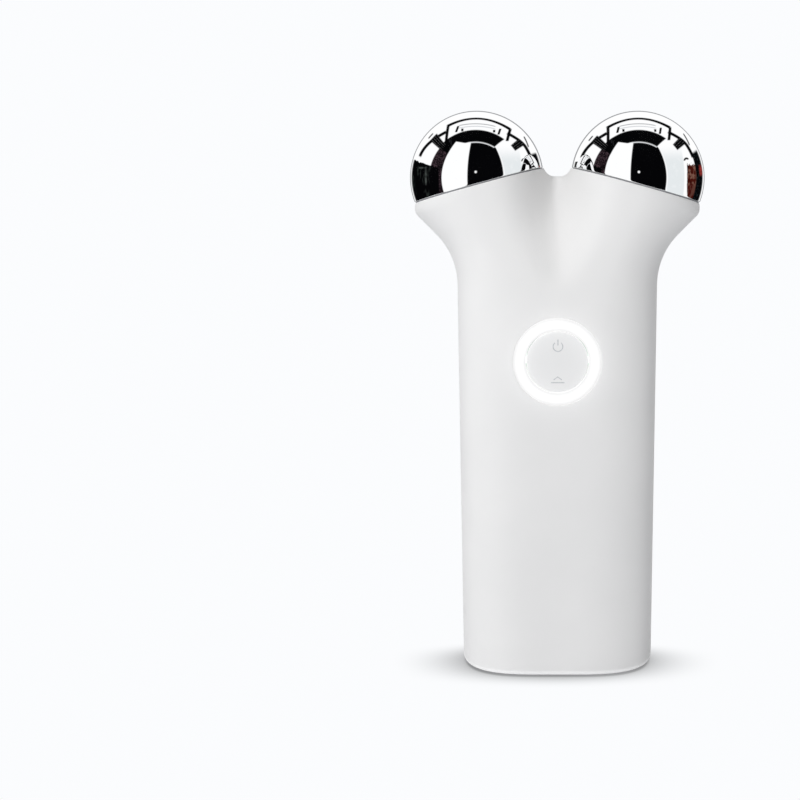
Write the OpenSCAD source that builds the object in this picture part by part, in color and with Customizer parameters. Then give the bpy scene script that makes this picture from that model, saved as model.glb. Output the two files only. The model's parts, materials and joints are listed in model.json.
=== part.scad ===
// Handheld facial toning device: two fixed chrome ball electrodes on a flared handle,
// with a round rocker button inside a light ring and a charging socket in the base.
// Frame: origin at the centre of the underside, +Z up, the button faces -Y.

/* [Ball electrodes] */
// Radius of each chrome ball
ball_r = 15.5; // [15:0.1:16]
// Ball centre, sideways from the middle of the body
ball_x = 18.7; // [18.4:0.1:19.6]
// Ball centre, backwards from the middle of the handle
ball_y = 1.5; // [0:0.1:2]
// Ball centre, above the underside
ball_z = 114.6; // [110:0.1:120]
// Outward lean of each ball seat, in degrees
tilt_out = 15.3; // [13:0.1:17]
// Backward lean of each ball seat, in degrees
tilt_back = 7.2; // [4:0.1:9]
// Height of the ball centre over the ball's flat underside
ball_drop = 1.7; // [1.5:0.1:3]
// Wall of the hollow ball
ball_wall = 1.6; // [1.2:0.1:2.2]
// Radius of the threaded post inside the ball
post_r = 3.4; // [3:0.1:4.5]
// Thickness of the seal between ball and body
seal_t = 0.3; // [0.2:0.05:0.5]
// How far the seal stays behind the edge of the ball
seal_inset = 0.25; // [0.1:0.05:0.5]
// Thickness of the disc that centres the ball
carrier_t = 2; // [1.5:0.1:2.5]

/* [Body] */
// Width at the top of the grip
grip_w = 46.5; // [45:0.1:48]
// Width at the underside
base_w = 44.8; // [44:0.1:47]
// Depth at the top of the grip
grip_d = 36.4; // [36:0.1:38]
// Depth at the underside
base_d = 37.2; // [36.4:0.1:38.4]
// Roundness of the grip's section: 2 is an ellipse, more is squarer
grip_power = 2.8; // [2.6:0.05:3.2]
// Width of the flat stretch in the middle of the grip's front
grip_flat = 8; // [6:0.5:10]
// Wall of the two shells
wall = 2; // [1.8:0.1:2.2]
// Height of the shells' lower edge
edge_z = 0.4; // [0.3:0.1:0.7]
// Rounding of the shells' lower edge
edge_r = 1; // [0.5:0.1:1.4]

/* [Head] */
// Height where the grip starts to lean into the head
lean_z = 80; // [76:0.5:84]
// Radius of the hollow curve under each ball seat
flare_r = 16; // [14:0.5:18]
// Slope of the flank under each ball seat, in degrees from upright
flare_angle = 45; // [42:0.5:47]
// Radius of the rounded lip under each ball seat
lip_r = 2.2; // [1.6:0.1:2.8]
// Upright stretch above the lip
lip_h = 1.3; // [0.6:0.1:1.4]
// Depth of the valley between the two necks, as a share of the depth of the head
valley_depth = 0.78; // [0.5:0.01:0.8]
// Height of the valley on the front and back
valley_h = 20; // [16:0.5:22]
// Depth of the notch between the balls
notch_depth = 2.3; // [1.5:0.1:2.6]

/* [Button] */
// Height of the button's centre
button_z = 74.7; // [72:0.1:76]
// Outer radius of the light ring
ring_r = 10; // [9.8:0.05:10.2]
// Width of the light ring
ring_w = 2.75; // [2.6:0.05:2.9]
// Gap round the button cap
cap_gap = 0.25; // [0.22:0.01:0.3]
// How far the cap's face lies behind the light ring
cap_sink = 0.15; // [0:0.05:0.3]
// Thickness of the cap's face
cap_t = 1.8; // [1.6:0.05:1.9]
// Thickness of the light ring at its middle
ring_t = 2.2; // [2.1:0.05:2.3]
// Depth of the pivot pin behind the front of the body
pivot_depth = 3.2; // [3.15:0.05:3.3]
// Radius of the pivot pin
pivot_r = 0.75; // [0.6:0.05:0.8]
// Running clearance round the pivot pin
pivot_clear = 0.05; // [0.03:0.01:0.08]
// Distance from the pivot to each switch dome
dome_z = 4.6; // [4.3:0.1:4.8]
// Height of a switch dome
dome_h = 0.4; // [0.38:0.01:0.5]
// Radius of a switch dome
dome_r = 2; // [1.8:0.05:2.2]

/* [Electronics] */
// Width of the main board
board_w = 29; // [27:0.5:29.5]
// Thickness of the main board
board_t = 1.2; // [1:0.1:1.6]
// Height of the main board's top edge
board_top = 84; // [82:0.5:85]
// Width of the battery cell
cell_w = 34; // [30:0.5:34]
// Length of the battery cell
cell_l = 50; // [44:0.5:50]
// Thickness of the battery cell
cell_t = 8; // [7:0.1:8.2]
// Thickness of the inner frame's plate
plate_t = 1.6; // [1.4:0.1:1.8]
// Height of the standoffs under the main board
standoff_h = 2; // [1.8:0.1:2.2]

/* [Base] */
// Thickness of the base cap
base_t = 2.2; // [2:0.1:2.6]
// Thickness of the foot pad
pad_t = 0.8; // [0.7:0.05:1]
// Gap between the base cap and the shells
base_gap = 0.1; // [0.05:0.01:0.2]
// Width of the hole for the charging plug's moulded nose
plug_w = 12.6; // [12.2:0.1:13.5]
// Depth of that hole from front to back
plug_d = 6.8; // [6.6:0.1:7.5]

/* [Hidden] */

// Colours of the real surfaces
WHITE = [0.93, 0.93, 0.93];
CHROME = [0.80, 0.81, 0.83];
STEEL = [0.62, 0.63, 0.65];
BRASS = [0.80, 0.66, 0.36];
SILICONE = [0.42, 0.43, 0.45];
GLOW = [1.0, 1.0, 0.98];
DARK = [0.10, 0.10, 0.11];
BOARD = [0.08, 0.30, 0.17];
NATURAL = [0.86, 0.85, 0.80];
FOIL = [0.70, 0.72, 0.74];

// Fineness of the shells' surface
COLUMNS = 40;
ARC_STEPS = 4;
ROUND = 48;

// ---- Ball seats ----
seal_gap_r = 0.02;
rim_r = sqrt(ball_r * ball_r - ball_drop * ball_drop) + seal_gap_r;
seat_axis = [
    sin(tilt_out) * cos(tilt_back), sin(tilt_back), cos(tilt_out) * cos(tilt_back)
];
ball = [ball_x, ball_y, ball_z];
seat = ball - (ball_drop + seal_t) * seat_axis;
rim_x = seat.x + rim_r * cos(tilt_out);
rim_z = seat.z - rim_r * sin(tilt_out);
seat_t = 2;
slope_x = tan(tilt_out);
slope_y = tan(tilt_back) / cos(tilt_out);

// ---- Side outline of the head: hollow curve, flank, lip ----
grip_hw = grip_w / 2;
flank_rise = rim_x - grip_hw - (flare_r + lip_r) * (1 - cos(flare_angle));
lip_z = rim_z - lip_h;
flare_z2 = lip_z - lip_r * sin(flare_angle);
flare_z1 = flare_z2 - flank_rise / tan(flare_angle);
flare_z0 = flare_z1 - flare_r * sin(flare_angle);
flare_x1 = grip_hw + flare_r * (1 - cos(flare_angle));

function smooth(t) = let(u = min(max(t, 0), 1)) u * u * (3 - 2 * u);
function mix(a, b, t) = a + (b - a) * t;

// Half width of the body at the level whose outer edge is at height z
function half_w(z) =
    z <= flare_z0 ? mix(base_w, grip_w, z / flare_z0) / 2
    : z <= flare_z1 ? grip_hw + flare_r - sqrt(pow(flare_r, 2) - pow(z - flare_z0, 2))
    : z <= flare_z2 ? flare_x1 + (z - flare_z1) * tan(flare_angle)
    : z <= lip_z ? rim_x - lip_r + sqrt(pow(lip_r, 2) - pow(lip_z - z, 2))
    : rim_x;

// Share of the ball seat's lean that a level has: none in the grip, all at the rim
function lean(z) = smooth((z - lean_z) / (rim_z - lean_z));
function half_d(z) =
    mix(mix(base_d, grip_d, min(z / lean_z, 1)) / 2, rim_r * cos(tilt_back), lean(z));
function lobe_x(z) = mix(grip_flat / 2, seat.x, lean(z));
function power(z) = mix(grip_power, 2, lean(z));
function mid_y(z) = seat.y * lean(z);

// The valley that parts the two necks, and the rounding of the saddle on top of it
valley_power = 1.8;
saddle_r = 3;
saddle_w = 6;
saddle_share = 0.3;
function valley(x, z) =
    let(c = lobe_x(z), t = max(0, c - abs(x)) / c)
    valley_depth * smooth((z - rim_z + valley_h) / valley_h)
        * (1 - cos(180 * pow(t, valley_power))) / 2;
function saddle(x, z) =
    let(q = min(max((z - rim_z + saddle_r) / saddle_r, 0), 1))
    abs(x) > saddle_w ? 0
    : saddle_share * pow(cos(90 * x / saddle_w), 2) * (1 - sqrt(1 - q * q));

// Half depth of a level at x, drawn in by in_x at the sides and in_y at front and back
function edge_y(x, z, in_x, in_y) =
    let(c = lobe_x(z), n = power(z), over = (abs(x) - c) / (half_w(z) - in_x - c))
    over > 0 ? (half_d(z) - in_y) * pow(max(0, 1 - pow(over, n)), 1 / n)
    : half_d(z) * (1 - valley(x, z)) * (1 - saddle(x, z)) - in_y;

// The levels hinge down from the middle to the leaning ball seats
notch_w = 3.2;
bend_w = 15;
function soft_abs(x, w) = abs(x) > w ? abs(x) : x * x / (2 * w) + w / 2;
function notch(x) = abs(x) > notch_w ? 0 : notch_depth * (1 - pow(abs(x) / notch_w, 3));
function level_z(x, y, z) =
    let(b = lean(z))
    z + b * (slope_x * (half_w(z) - soft_abs(x, mix(bend_w, notch_w, b))) - slope_y * y)
        - notch(x) * smooth((z - flare_z1) / (rim_z - flare_z1));

// A point of the body's surface. u runs from -1 to 1 across it, inward from 0 at the
// surface to 1 at the parting plane, and side is -1 at the front and 1 at the back.
column_crowding = 0.6;
skew_w = 5;
function body_point(u, z, side, in_x, in_y, drop, inward) =
    let(
        turn = 90 * u * (column_crowding + (1 - column_crowding) * u * u),
        x0 = (half_w(z) - in_x) * sin(turn),
        y = side * edge_y(x0, z, in_x, in_y) * (1 - inward),
        x = x0 - lean(z) * tan(tilt_back) * sin(tilt_out) * y * x0 / norm([x0, skew_w])
    )
    [x, y + mid_y(z), level_z(x, y, z) - drop];

// Rows of the surface, from the lower edge to the rim
handle_rows = [12, 30, 48, 62, 72, 80, 85];
levels = concat(
    [for (a = [0, 45, 90]) edge_z + edge_r * (1 - cos(a))],
    [for (z = handle_rows) z],
    [for (i = [0:ARC_STEPS]) flare_z0 + flare_r * sin(flare_angle * i / ARC_STEPS)],
    [for (i = [1:2]) mix(flare_z1, flare_z2, i / 3)],
    [for (i = [0:3]) lip_z - lip_r * sin(flare_angle * (1 - i / 3))],
    [mix(lip_z, rim_z, 0.6), rim_z]
);
ROWS = len(levels);

// The outer surface is drawn in at the rounded lower edge
function edge_in(z) =
    z >= edge_z + edge_r ? 0
    : edge_r - sqrt(pow(edge_r, 2) - pow(edge_r - z + edge_z, 2));
// The inner surface is drawn in more under the flank, and drops below the ball seat
flank_extra = 1.6;
squeeze_h = 4.4;
seat_dz = seat_t / seat_axis.z;
function inner_in(z) = wall + flank_extra * smooth((z - flare_z0) / 8);
function inner_drop(z) = seat_dz * max(0, (z - rim_z + squeeze_h) / squeeze_h);

function outer_point(u, j, side) =
    let(row = min(j, ROWS - 1), z = levels[row])
    body_point(u, z, side, edge_in(z), edge_in(z), 0, j - row);
function inner_point(u, j, side) =
    let(row = min(j, ROWS - 1), z = levels[row])
    body_point(u, z, side, inner_in(z), wall, inner_drop(z), j - row);

// One half of the body as a closed skin: the front for side -1, the back for side 1
module half_skin(side) {
    skin = (ROWS + 1) * (COLUMNS + 1);
    points = concat(
        [for (j = [0:ROWS], k = [0:COLUMNS]) outer_point(2 * k / COLUMNS - 1, j, side)],
        [for (j = [0:ROWS], k = [0:COLUMNS]) inner_point(2 * k / COLUMNS - 1, j, side)]
    );
    // Over the seats, the first and last columns stay at the rim's end
    function at(j, k) =
        (k == 0 || k == COLUMNS ? min(j, ROWS - 1) : j) * (COLUMNS + 1) + k;
    function in(j, k) = at(j, k) + skin;
    quads = concat(
        [for (j = [0:ROWS - 1], k = [0:COLUMNS - 1])
            [at(j, k), at(j + 1, k), at(j + 1, k + 1), at(j, k + 1)]],
        [for (j = [0:ROWS - 1], k = [0:COLUMNS - 1])
            [in(j, k), in(j, k + 1), in(j + 1, k + 1), in(j + 1, k)]],
        [for (k = [0:COLUMNS - 1]) [at(0, k), at(0, k + 1), in(0, k + 1), in(0, k)]],
        [for (k = [0:COLUMNS - 1])
            [at(ROWS, k + 1), at(ROWS, k), in(ROWS, k), in(ROWS, k + 1)]],
        [for (j = [0:ROWS - 2]) [at(j + 1, 0), at(j, 0), in(j, 0), in(j + 1, 0)]],
        [for (j = [0:ROWS - 2])
            [at(j, COLUMNS), at(j + 1, COLUMNS), in(j + 1, COLUMNS), in(j, COLUMNS)]]
    );
    halves = [for (q = quads) each [[q[0], q[1], q[2]], [q[0], q[2], q[3]]]];
    whole = [for (t = halves) if (t[0] != t[1] && t[1] != t[2] && t[0] != t[2]) t];
    polyhedron(points, side < 0 ? whole : [for (t = whole) [t[0], t[2], t[1]]]);
}

// ---- Places inside the body ----
fit_gap = 0.05;
face_gap = 0.02;
button_y = -half_d(button_z);
front_sag = half_d(button_z) - edge_y(ring_r, button_z, 0, 0);
crown_r = (pow(ring_r, 2) + pow(front_sag, 2)) / (2 * front_sag);
ring_in_r = ring_r - ring_w;
cap_r = ring_in_r - cap_gap;

// Depths behind the front of the body at the button
ring_lip = 1.2;
flange_r = ring_r + 1.6;
housing_r = flange_r + 0.6;
housing_in_r = ring_in_r + 0.1;
dome_gap = 0.02;
plunger_depth = pivot_depth + 1.7;
plunger_r = 1.1;
board_depth = plunger_depth + dome_gap + dome_h;
button_board_t = 1;
ear_z = 14.2;
ear_w = 5.2;
ear_t = 1.2;
screw_r = 0.8;
screw_hole_r = 1.05;
head_r = 1.7;
head_t = 1.1;
boss_r = 2.3;
led_count = 8;
led_r = (ring_in_r + ring_r) / 2;
led_size = [1.6, 0.8, 0.6];
window_r = 1;
pin_half = housing_r - 0.8;
lug_x = 4.2;
lug_w = 2.4;
lug_r = 1.45;

// Layers from the cell forwards: cell, tape, plate, standoffs, main board
plate_y = 2.4;
tape_t = 0.3;
cell_y = plate_y + plate_t + tape_t;
board_y = plate_y - standoff_h - board_t;
cap_z = pad_t;
cap_top = cap_z + base_t;
board_bottom = cap_top + 1.2;
cell_z = cap_top + 8;
plate_w = 31;
plate_top = board_top + 1.5;
post_x = 11;
post_zs = [cell_z + cell_l + 5, board_top - 9];
stand_x = board_w / 2 - 2;
stand_zs = [board_bottom + 10, board_top - 3];
stand_r = 1.9;
window_w = 11;

usb_w = 8.94;
usb_t = 3.26;
usb_l = 7.35;
usb_wall = 0.3;
usb_y = board_y - usb_t / 2;
usb_z = cap_top + 0.4;

base_screw_x = 13;
base_screw_in = 4.8;
base_boss_h = 7;
base_boss_r = 3.2;

guard_w = 14;
guard_l = 4;
guard_t = 1;
guard_y = cell_y + cell_t / 2;
guard_z = cell_z + cell_l;
window_z = [guard_z + guard_l + 3.5, board_top - 1.8];
socket_w = 7;
socket_h = 6;
socket_z = window_z[1] - 0.8 - socket_h;
socket_d = 4.2;
plug_body = [5.6, 3, 4.6];
plug_y = plate_y - standoff_h + socket_d / 2;
lead_r = 0.55;
wire_r = 0.5;
wire_x = 1.3;
chip_gap = 0.02;
foam_w = 14;
foam_inset = 8;
tape_w = 24;
tape_inset = 5;
controller_size = [7, 7, 0.9];
controller_up = 35.8;
charger_size = [4, 4, 0.9];
charger_x = 6;
charger_up = 17.8;
core_w = 9.6;
core_h = 4.5;
core_plate_t = 1;
core_leg_w = 2.5;
core_winding_r = 3.4;
core_x = 6;
core_up = 21.8;
capacitor_size = [2.5, 3.2, 1.8];
capacitor_pitch = 4.6;
capacitor_up = 45.8;

bolt_r = 1.25;
bolt_hole_r = 1.35;
bolt_l = 7;
bolt_head_r = 3.1;
bolt_head_t = 2;
seat_hole_r = 1.6;
peg_r = 1.4;
peg_y = 9;
carrier_r = sqrt(pow(ball_r - ball_wall, 2) - pow(ball_drop, 2)) - 0.1;
seat_top = -ball_drop - seal_t;
seat_under = seat_top - seat_t;
lug_plate_t = 0.5;
lug_plate_r = 3.6;
crimp_r = 1.1;
crimp_l = 3;
crimp_x = -8.2;

// ---- Frames to build in ----
module both_sides() { for (s = [0, 1]) mirror([s, 0, 0]) children(); }
module seat_frame() {
    translate(ball) rotate([0, tilt_out, 0]) rotate([-tilt_back, 0, 0]) children();
}
// Stands on the front of the body at the button's centre and looks into the body
module button_frame(depth = 0, x = 0, z = 0) {
    translate([x, button_y + depth, button_z + z]) rotate([-90, 0, 0]) children();
}
// Stands on the front of the main board and looks forwards
module board_front(x, z) { translate([x, board_y - chip_gap, z]) rotate([90, 0, 0]) children(); }
module centred(size) { translate([-size.x / 2, -size.y / 2, 0]) cube(size); }

function seat_point(v) =
    ball + v.x * [cos(tilt_out), 0, -sin(tilt_out)]
        + v.y * [-sin(tilt_back) * sin(tilt_out), cos(tilt_back),
            -sin(tilt_back) * cos(tilt_out)]
        + v.z * seat_axis;
function mirrored(p) = [-p.x, p.y, p.z];

// Flat outline of the inside of the shells at the underside, drawn in by gap
OUTLINE = 40;
function inside_side(side, gap) =
    [for (k = [0:OUTLINE])
        let(x = -side * (half_w(cap_z) - wall - gap) * cos(180 * k / OUTLINE))
        [x, side * edge_y(x, cap_z, wall + gap, wall + gap)]];
module inside_slab(h, gap) {
    front = inside_side(-1, gap);
    back = inside_side(1, gap);
    linear_extrude(h)
        polygon(concat([for (i = [0:OUTLINE - 1]) front[i]], [for (i = [0:OUTLINE - 1]) back[i]]));
}

CORNER = 6;
function corner(cx, cy, r, from) =
    [for (i = [0:CORNER]) [cx + r * cos(from + 90 * i / CORNER), cy + r * sin(from + 90 * i / CORNER)]];
function round_rect(w, d, r) = concat(
    corner(w / 2 - r, d / 2 - r, r, 0), corner(r - w / 2, d / 2 - r, r, 90),
    corner(r - w / 2, r - d / 2, r, 180), corner(w / 2 - r, r - d / 2, r, 270));

// A wire along a cubic curve, with straight ends
WIRE_SIDES = 8;
WIRE_STEPS = 14;
function bezier(p, t) =
    pow(1 - t, 3) * p[0] + 3 * t * pow(1 - t, 2) * p[1] + 3 * t * t * (1 - t) * p[2] + pow(t, 3) * p[3];
function unit(v) = v / norm(v);
module wire(start, p, end, r, reference) {
    path = concat([start], [for (i = [0:WIRE_STEPS]) bezier(p, i / WIRE_STEPS)], [end]);
    last = len(path) - 1;
    function along(i) = unit(path[min(i + 1, last)] - path[max(i - 1, 0)]);
    function ring(i) =
        let(u = unit(cross(along(i), reference)), v = cross(along(i), u))
        [for (k = [0:WIRE_SIDES - 1])
            path[i] + r * (cos(360 * k / WIRE_SIDES) * u + sin(360 * k / WIRE_SIDES) * v)];
    points = [for (i = [0:last]) each ring(i)];
    function at(i, k) = i * WIRE_SIDES + k % WIRE_SIDES;
    sides = [for (i = [0:last - 1], k = [0:WIRE_SIDES - 1]) each
        [[at(i, k), at(i + 1, k), at(i + 1, k + 1)], [at(i, k), at(i + 1, k + 1), at(i, k + 1)]]];
    ends = [
        [for (k = [0:WIRE_SIDES - 1]) at(0, k)],
        [for (k = [WIRE_SIDES - 1:-1:0]) at(last, k)],
    ];
    polyhedron(points, concat(sides, ends));
}

// A machine screw that points along +Z, with its head below
module screw(length) {
    difference() {
        union() {
            cylinder(h = head_t, r = head_r, $fn = ROUND);
            cylinder(h = length, r = screw_r, $fn = ROUND);
        }
        for (a = [0, 90])
            rotate([0, 0, a]) translate([0, 0, -0.01]) centred([2, 0.45, 0.6]);
    }
}

// ---- Shells ----
module seat_holes() {
    both_sides() seat_frame() {
        translate([0, 0, seat_under - 1]) cylinder(h = seat_t + 2, r = seat_hole_r, $fn = ROUND);
        for (y = [-peg_y, peg_y])
            translate([0, y, seat_under - 1])
                cylinder(h = seat_t + 2, r = peg_r + fit_gap, $fn = ROUND);
    }
}
base_screw_y = edge_y(base_screw_x, cap_z, wall, wall) + wall - base_screw_in;
module base_bosses(side, r, from, h) {
    both_sides() translate([base_screw_x, side * base_screw_y, from])
        cylinder(h = h, r = r, $fn = ROUND);
}
module button_bosses(r, from, to) {
    for (z = [-ear_z, ear_z])
        button_frame(from, 0, z) cylinder(h = to - from, r = r, $fn = ROUND);
}
module frame_posts(r, from, to) {
    for (x = [-post_x, post_x], z = post_zs)
        translate([x, from, z]) rotate([-90, 0, 0]) cylinder(h = to - from, r = r, $fn = ROUND);
}

module front_shell() {
    ear_front = board_depth - ear_t;
    color(WHITE) difference() {
        union() {
            half_skin(-1);
            base_bosses(-1, base_boss_r, cap_top, base_boss_h);
            button_bosses(boss_r, wall - 0.6, ear_front);
        }
        button_frame(-1) cylinder(h = wall + 3, r = ring_r + fit_gap, $fn = 2 * ROUND);
        button_frame(ring_lip) cylinder(h = 4, r = housing_r + fit_gap, $fn = 2 * ROUND);
        base_bosses(-1, screw_r + face_gap, cap_top - 1, base_boss_h);
        button_bosses(screw_r + face_gap, wall, ear_front + 1);
        seat_holes();
    }
}

module rear_shell() {
    color(WHITE) difference() {
        union() {
            half_skin(1);
            base_bosses(1, base_boss_r, cap_top, base_boss_h);
            frame_posts(boss_r, plate_y + plate_t, half_d(plate_top) - wall + 0.4);
        }
        base_bosses(1, screw_r + face_gap, cap_top - 1, base_boss_h);
        frame_posts(screw_r + face_gap, plate_y, plate_y + plate_t + 5);
        seat_holes();
    }
}

// ---- Base ----
module plug_hole(grow) {
    translate([0, usb_y, -1]) linear_extrude(cap_top + 2)
        polygon(round_rect(plug_w + 2 * grow, plug_d + 2 * grow, plug_d / 2 - 0.3));
}
module base_cap() {
    rib_w = 20;
    rib_t = 1;
    rib_h = 2.4;
    color(WHITE) difference() {
        union() {
            translate([0, 0, cap_z]) inside_slab(base_t, base_gap);
            for (y = [plate_y - fit_gap - rib_t, plate_y + plate_t + fit_gap])
                translate([-rib_w / 2, y, cap_top - 0.5]) cube([rib_w, rib_t, rib_h + 0.5]);
        }
        plug_hole(0);
        for (side = [-1, 1]) {
            base_bosses(side, screw_hole_r, cap_z - 1, base_t + 2);
            base_bosses(side, head_r + 0.15, cap_z - 1, 1 + head_t + 0.1);
        }
    }
}
module foot_pad() {
    color(SILICONE) difference() {
        inside_slab(pad_t, base_gap + 0.5);
        plug_hole(0.2);
    }
}
module case_screws() {
    color(STEEL) for (side = [-1, 1])
        both_sides() translate([base_screw_x, side * base_screw_y, cap_z + 0.1]) screw(base_t + 4.5);
}

// ---- Ball electrodes ----
module electrode() {
    inner_r = ball_r - ball_wall;
    post_bottom = seat_top + carrier_t;
    color(CHROME) difference() {
        union() {
            difference() {
                sphere(r = ball_r, $fn = 2 * ROUND);
                sphere(r = inner_r, $fn = 2 * ROUND);
                translate([0, 0, -ball_drop - ball_r])
                    cylinder(h = ball_r, r = ball_r + 1, $fn = ROUND);
            }
            translate([0, 0, post_bottom])
                cylinder(h = inner_r - post_bottom + ball_wall / 2, r = post_r, $fn = ROUND);
        }
        translate([0, 0, post_bottom - 1])
            cylinder(h = bolt_l + 2.5, r = bolt_r + face_gap, $fn = ROUND);
    }
}
module right_electrode() { seat_frame() electrode(); }
module left_electrode() { mirror([1, 0, 0]) seat_frame() electrode(); }
module electrode_seals() {
    rim = sqrt(pow(ball_r, 2) - pow(ball_drop, 2));
    color(SILICONE) both_sides() seat_frame() translate([0, 0, seat_top]) difference() {
        cylinder(h = seal_t, r = rim - seal_inset, $fn = 2 * ROUND);
        translate([0, 0, -1]) cylinder(h = seal_t + 2, r = carrier_r + 0.15, $fn = 2 * ROUND);
    }
}
module electrode_carriers() {
    color(NATURAL) both_sides() seat_frame() difference() {
        union() {
            translate([0, 0, seat_top]) cylinder(h = carrier_t, r = carrier_r, $fn = 2 * ROUND);
            for (y = [-peg_y, peg_y])
                translate([0, y, seat_top - seat_t + 0.2])
                    cylinder(h = seat_t + carrier_t / 2, r = peg_r, $fn = ROUND);
        }
        translate([0, 0, seat_top - 1]) cylinder(h = carrier_t + 2, r = bolt_hole_r, $fn = ROUND);
    }
}
module electrode_screws() {
    head = seat_under - lug_plate_t - bolt_head_t;
    color(STEEL) both_sides() seat_frame() {
        translate([0, 0, head]) cylinder(h = bolt_head_t, r = bolt_head_r, $fn = 6);
        translate([0, 0, head + bolt_head_t / 2])
            cylinder(h = bolt_l + seat_top + carrier_t - head, r = bolt_r, $fn = ROUND);
    }
}
module lead_terminals() {
    crimp_z = seat_under - crimp_r - 0.1;
    color(BRASS) both_sides() seat_frame() difference() {
        union() {
            translate([0, 0, seat_under - lug_plate_t])
                cylinder(h = lug_plate_t, r = lug_plate_r, $fn = ROUND);
            translate([crimp_x + crimp_l - 0.6, -0.9, seat_under - lug_plate_t])
                cube([-crimp_x - crimp_l, 1.8, lug_plate_t]);
            translate([crimp_x, 0, crimp_z]) rotate([0, 90, 0])
                cylinder(h = crimp_l, r = crimp_r, $fn = ROUND);
        }
        translate([0, 0, seat_under - 2]) cylinder(h = 3, r = bolt_hole_r, $fn = ROUND);
        translate([crimp_x - 1, 0, crimp_z]) rotate([0, 90, 0])
            cylinder(h = crimp_l + 0.6, r = lead_r + fit_gap, $fn = ROUND);
    }
}
function lead_ends() =
    let(z = seat_under - crimp_r - 0.1, pad = [8.5, board_y - lead_r - face_gap, board_top])
    [
        seat_point([crimp_x + crimp_l - 0.6, 0, z]), seat_point([crimp_x - 0.6, 0, z]),
        seat_point([crimp_x - 7, 0, z]), pad + [0, 0, 9], pad + [0, 0, 0.5], pad - [0, 0, 3],
    ];
module right_lead() {
    p = lead_ends();
    color("firebrick") wire(p[0], [p[1], p[2], p[3], p[4]], p[5], lead_r, [0, 1, 0.1]);
}
module left_lead() {
    p = [for (v = lead_ends()) mirrored(v)];
    color("royalblue") wire(p[0], [p[1], p[2], p[3], p[4]], p[5], lead_r, [0, 1, 0.1]);
}

// ---- Button ----
module crowned(sink) {
    translate([0, button_y + sink + crown_r, button_z - 2 * ring_r])
        cylinder(h = 4 * ring_r, r = crown_r, $fn = 8 * ROUND);
}
module light_ring() {
    color(GLOW) difference() {
        union() {
            intersection() {
                button_frame(-1) cylinder(h = ring_t + 1, r = ring_r, $fn = 2 * ROUND);
                crowned(0);
            }
            button_frame(ring_lip + face_gap)
                cylinder(h = ring_t - ring_lip - face_gap, r = flange_r, $fn = 2 * ROUND);
        }
        button_frame(-2) cylinder(h = ring_t + 3, r = ring_in_r, $fn = 2 * ROUND);
    }
}
module button_cap() {
    color(WHITE) difference() {
        union() {
            intersection() {
                button_frame(-1) cylinder(h = cap_sink + cap_t + 1, r = cap_r, $fn = 2 * ROUND);
                crowned(cap_sink);
            }
            for (x = [-lug_x, lug_x]) {
                button_frame(cap_sink + cap_t / 2, x)
                    centred([lug_w, 2 * lug_r, pivot_depth - cap_sink - cap_t / 2]);
                button_frame(pivot_depth, x) rotate([0, 90, 0])
                    cylinder(h = lug_w, r = lug_r, center = true, $fn = ROUND);
            }
            for (z = [-dome_z, dome_z])
                button_frame(cap_sink + cap_t / 2, 0, z)
                    cylinder(h = plunger_depth - cap_sink - cap_t / 2, r = plunger_r, $fn = ROUND);
        }
        button_frame(pivot_depth) rotate([0, 90, 0])
            cylinder(h = 4 * ring_r, r = pivot_r, center = true, $fn = ROUND);
    }
}
module pivot_pin() {
    color(STEEL) button_frame(pivot_depth) rotate([0, 90, 0])
        cylinder(h = 2 * pin_half, r = pivot_r, center = true, $fn = ROUND);
}
module ear_bar(from, t) {
    button_frame(from) centred([ear_w, 2 * ear_z + ear_w, t]);
}
module ear_holes() { button_bosses(screw_hole_r, ring_lip, board_depth + 3); }
module led_places() {
    for (i = [0:led_count - 1])
        rotate([0, 0, (i + 0.5) * 360 / led_count]) translate([led_r, 0, 0]) children();
}
module button_housing() {
    color(NATURAL) difference() {
        union() {
            button_frame(ring_t + face_gap)
                cylinder(h = board_depth - ring_t - face_gap, r = housing_r, $fn = 2 * ROUND);
            ear_bar(board_depth - ear_t, ear_t);
        }
        button_frame(ring_t - 1)
            cylinder(h = board_depth, r = housing_in_r, $fn = 2 * ROUND);
        button_frame(pivot_depth) rotate([0, 90, 0])
            cylinder(h = 4 * ring_r, r = pivot_r + pivot_clear, center = true, $fn = ROUND);
        button_frame(ring_t - 1) led_places() cylinder(h = board_depth, r = window_r, $fn = ROUND);
        ear_holes();
    }
}
module button_board() {
    color(BOARD) difference() {
        union() {
            button_frame(board_depth) cylinder(h = button_board_t, r = housing_r, $fn = 2 * ROUND);
            ear_bar(board_depth, button_board_t);
        }
        ear_holes();
    }
}
module switch_domes() {
    steps = 6;
    arch = [for (i = [0:steps]) dome_r * [cos(90 * i / steps), 0] + dome_h * [0, sin(90 * i / steps)]];
    color(STEEL) for (z = [-dome_z, dome_z])
        button_frame(board_depth, 0, z) rotate([180, 0, 0])
            rotate_extrude($fn = 3 * ROUND) polygon(concat([[0, 0]], arch));
}
module ring_leds() {
    color([1, 1, 0.85]) button_frame(board_depth - led_size.z) led_places() centred(led_size);
}
module button_screws() {
    color(STEEL) for (z = [-ear_z, ear_z])
        button_frame(board_depth + button_board_t + head_t, 0, z) rotate([180, 0, 0])
            screw(head_t + button_board_t + ear_t + 1.3);
}

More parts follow.
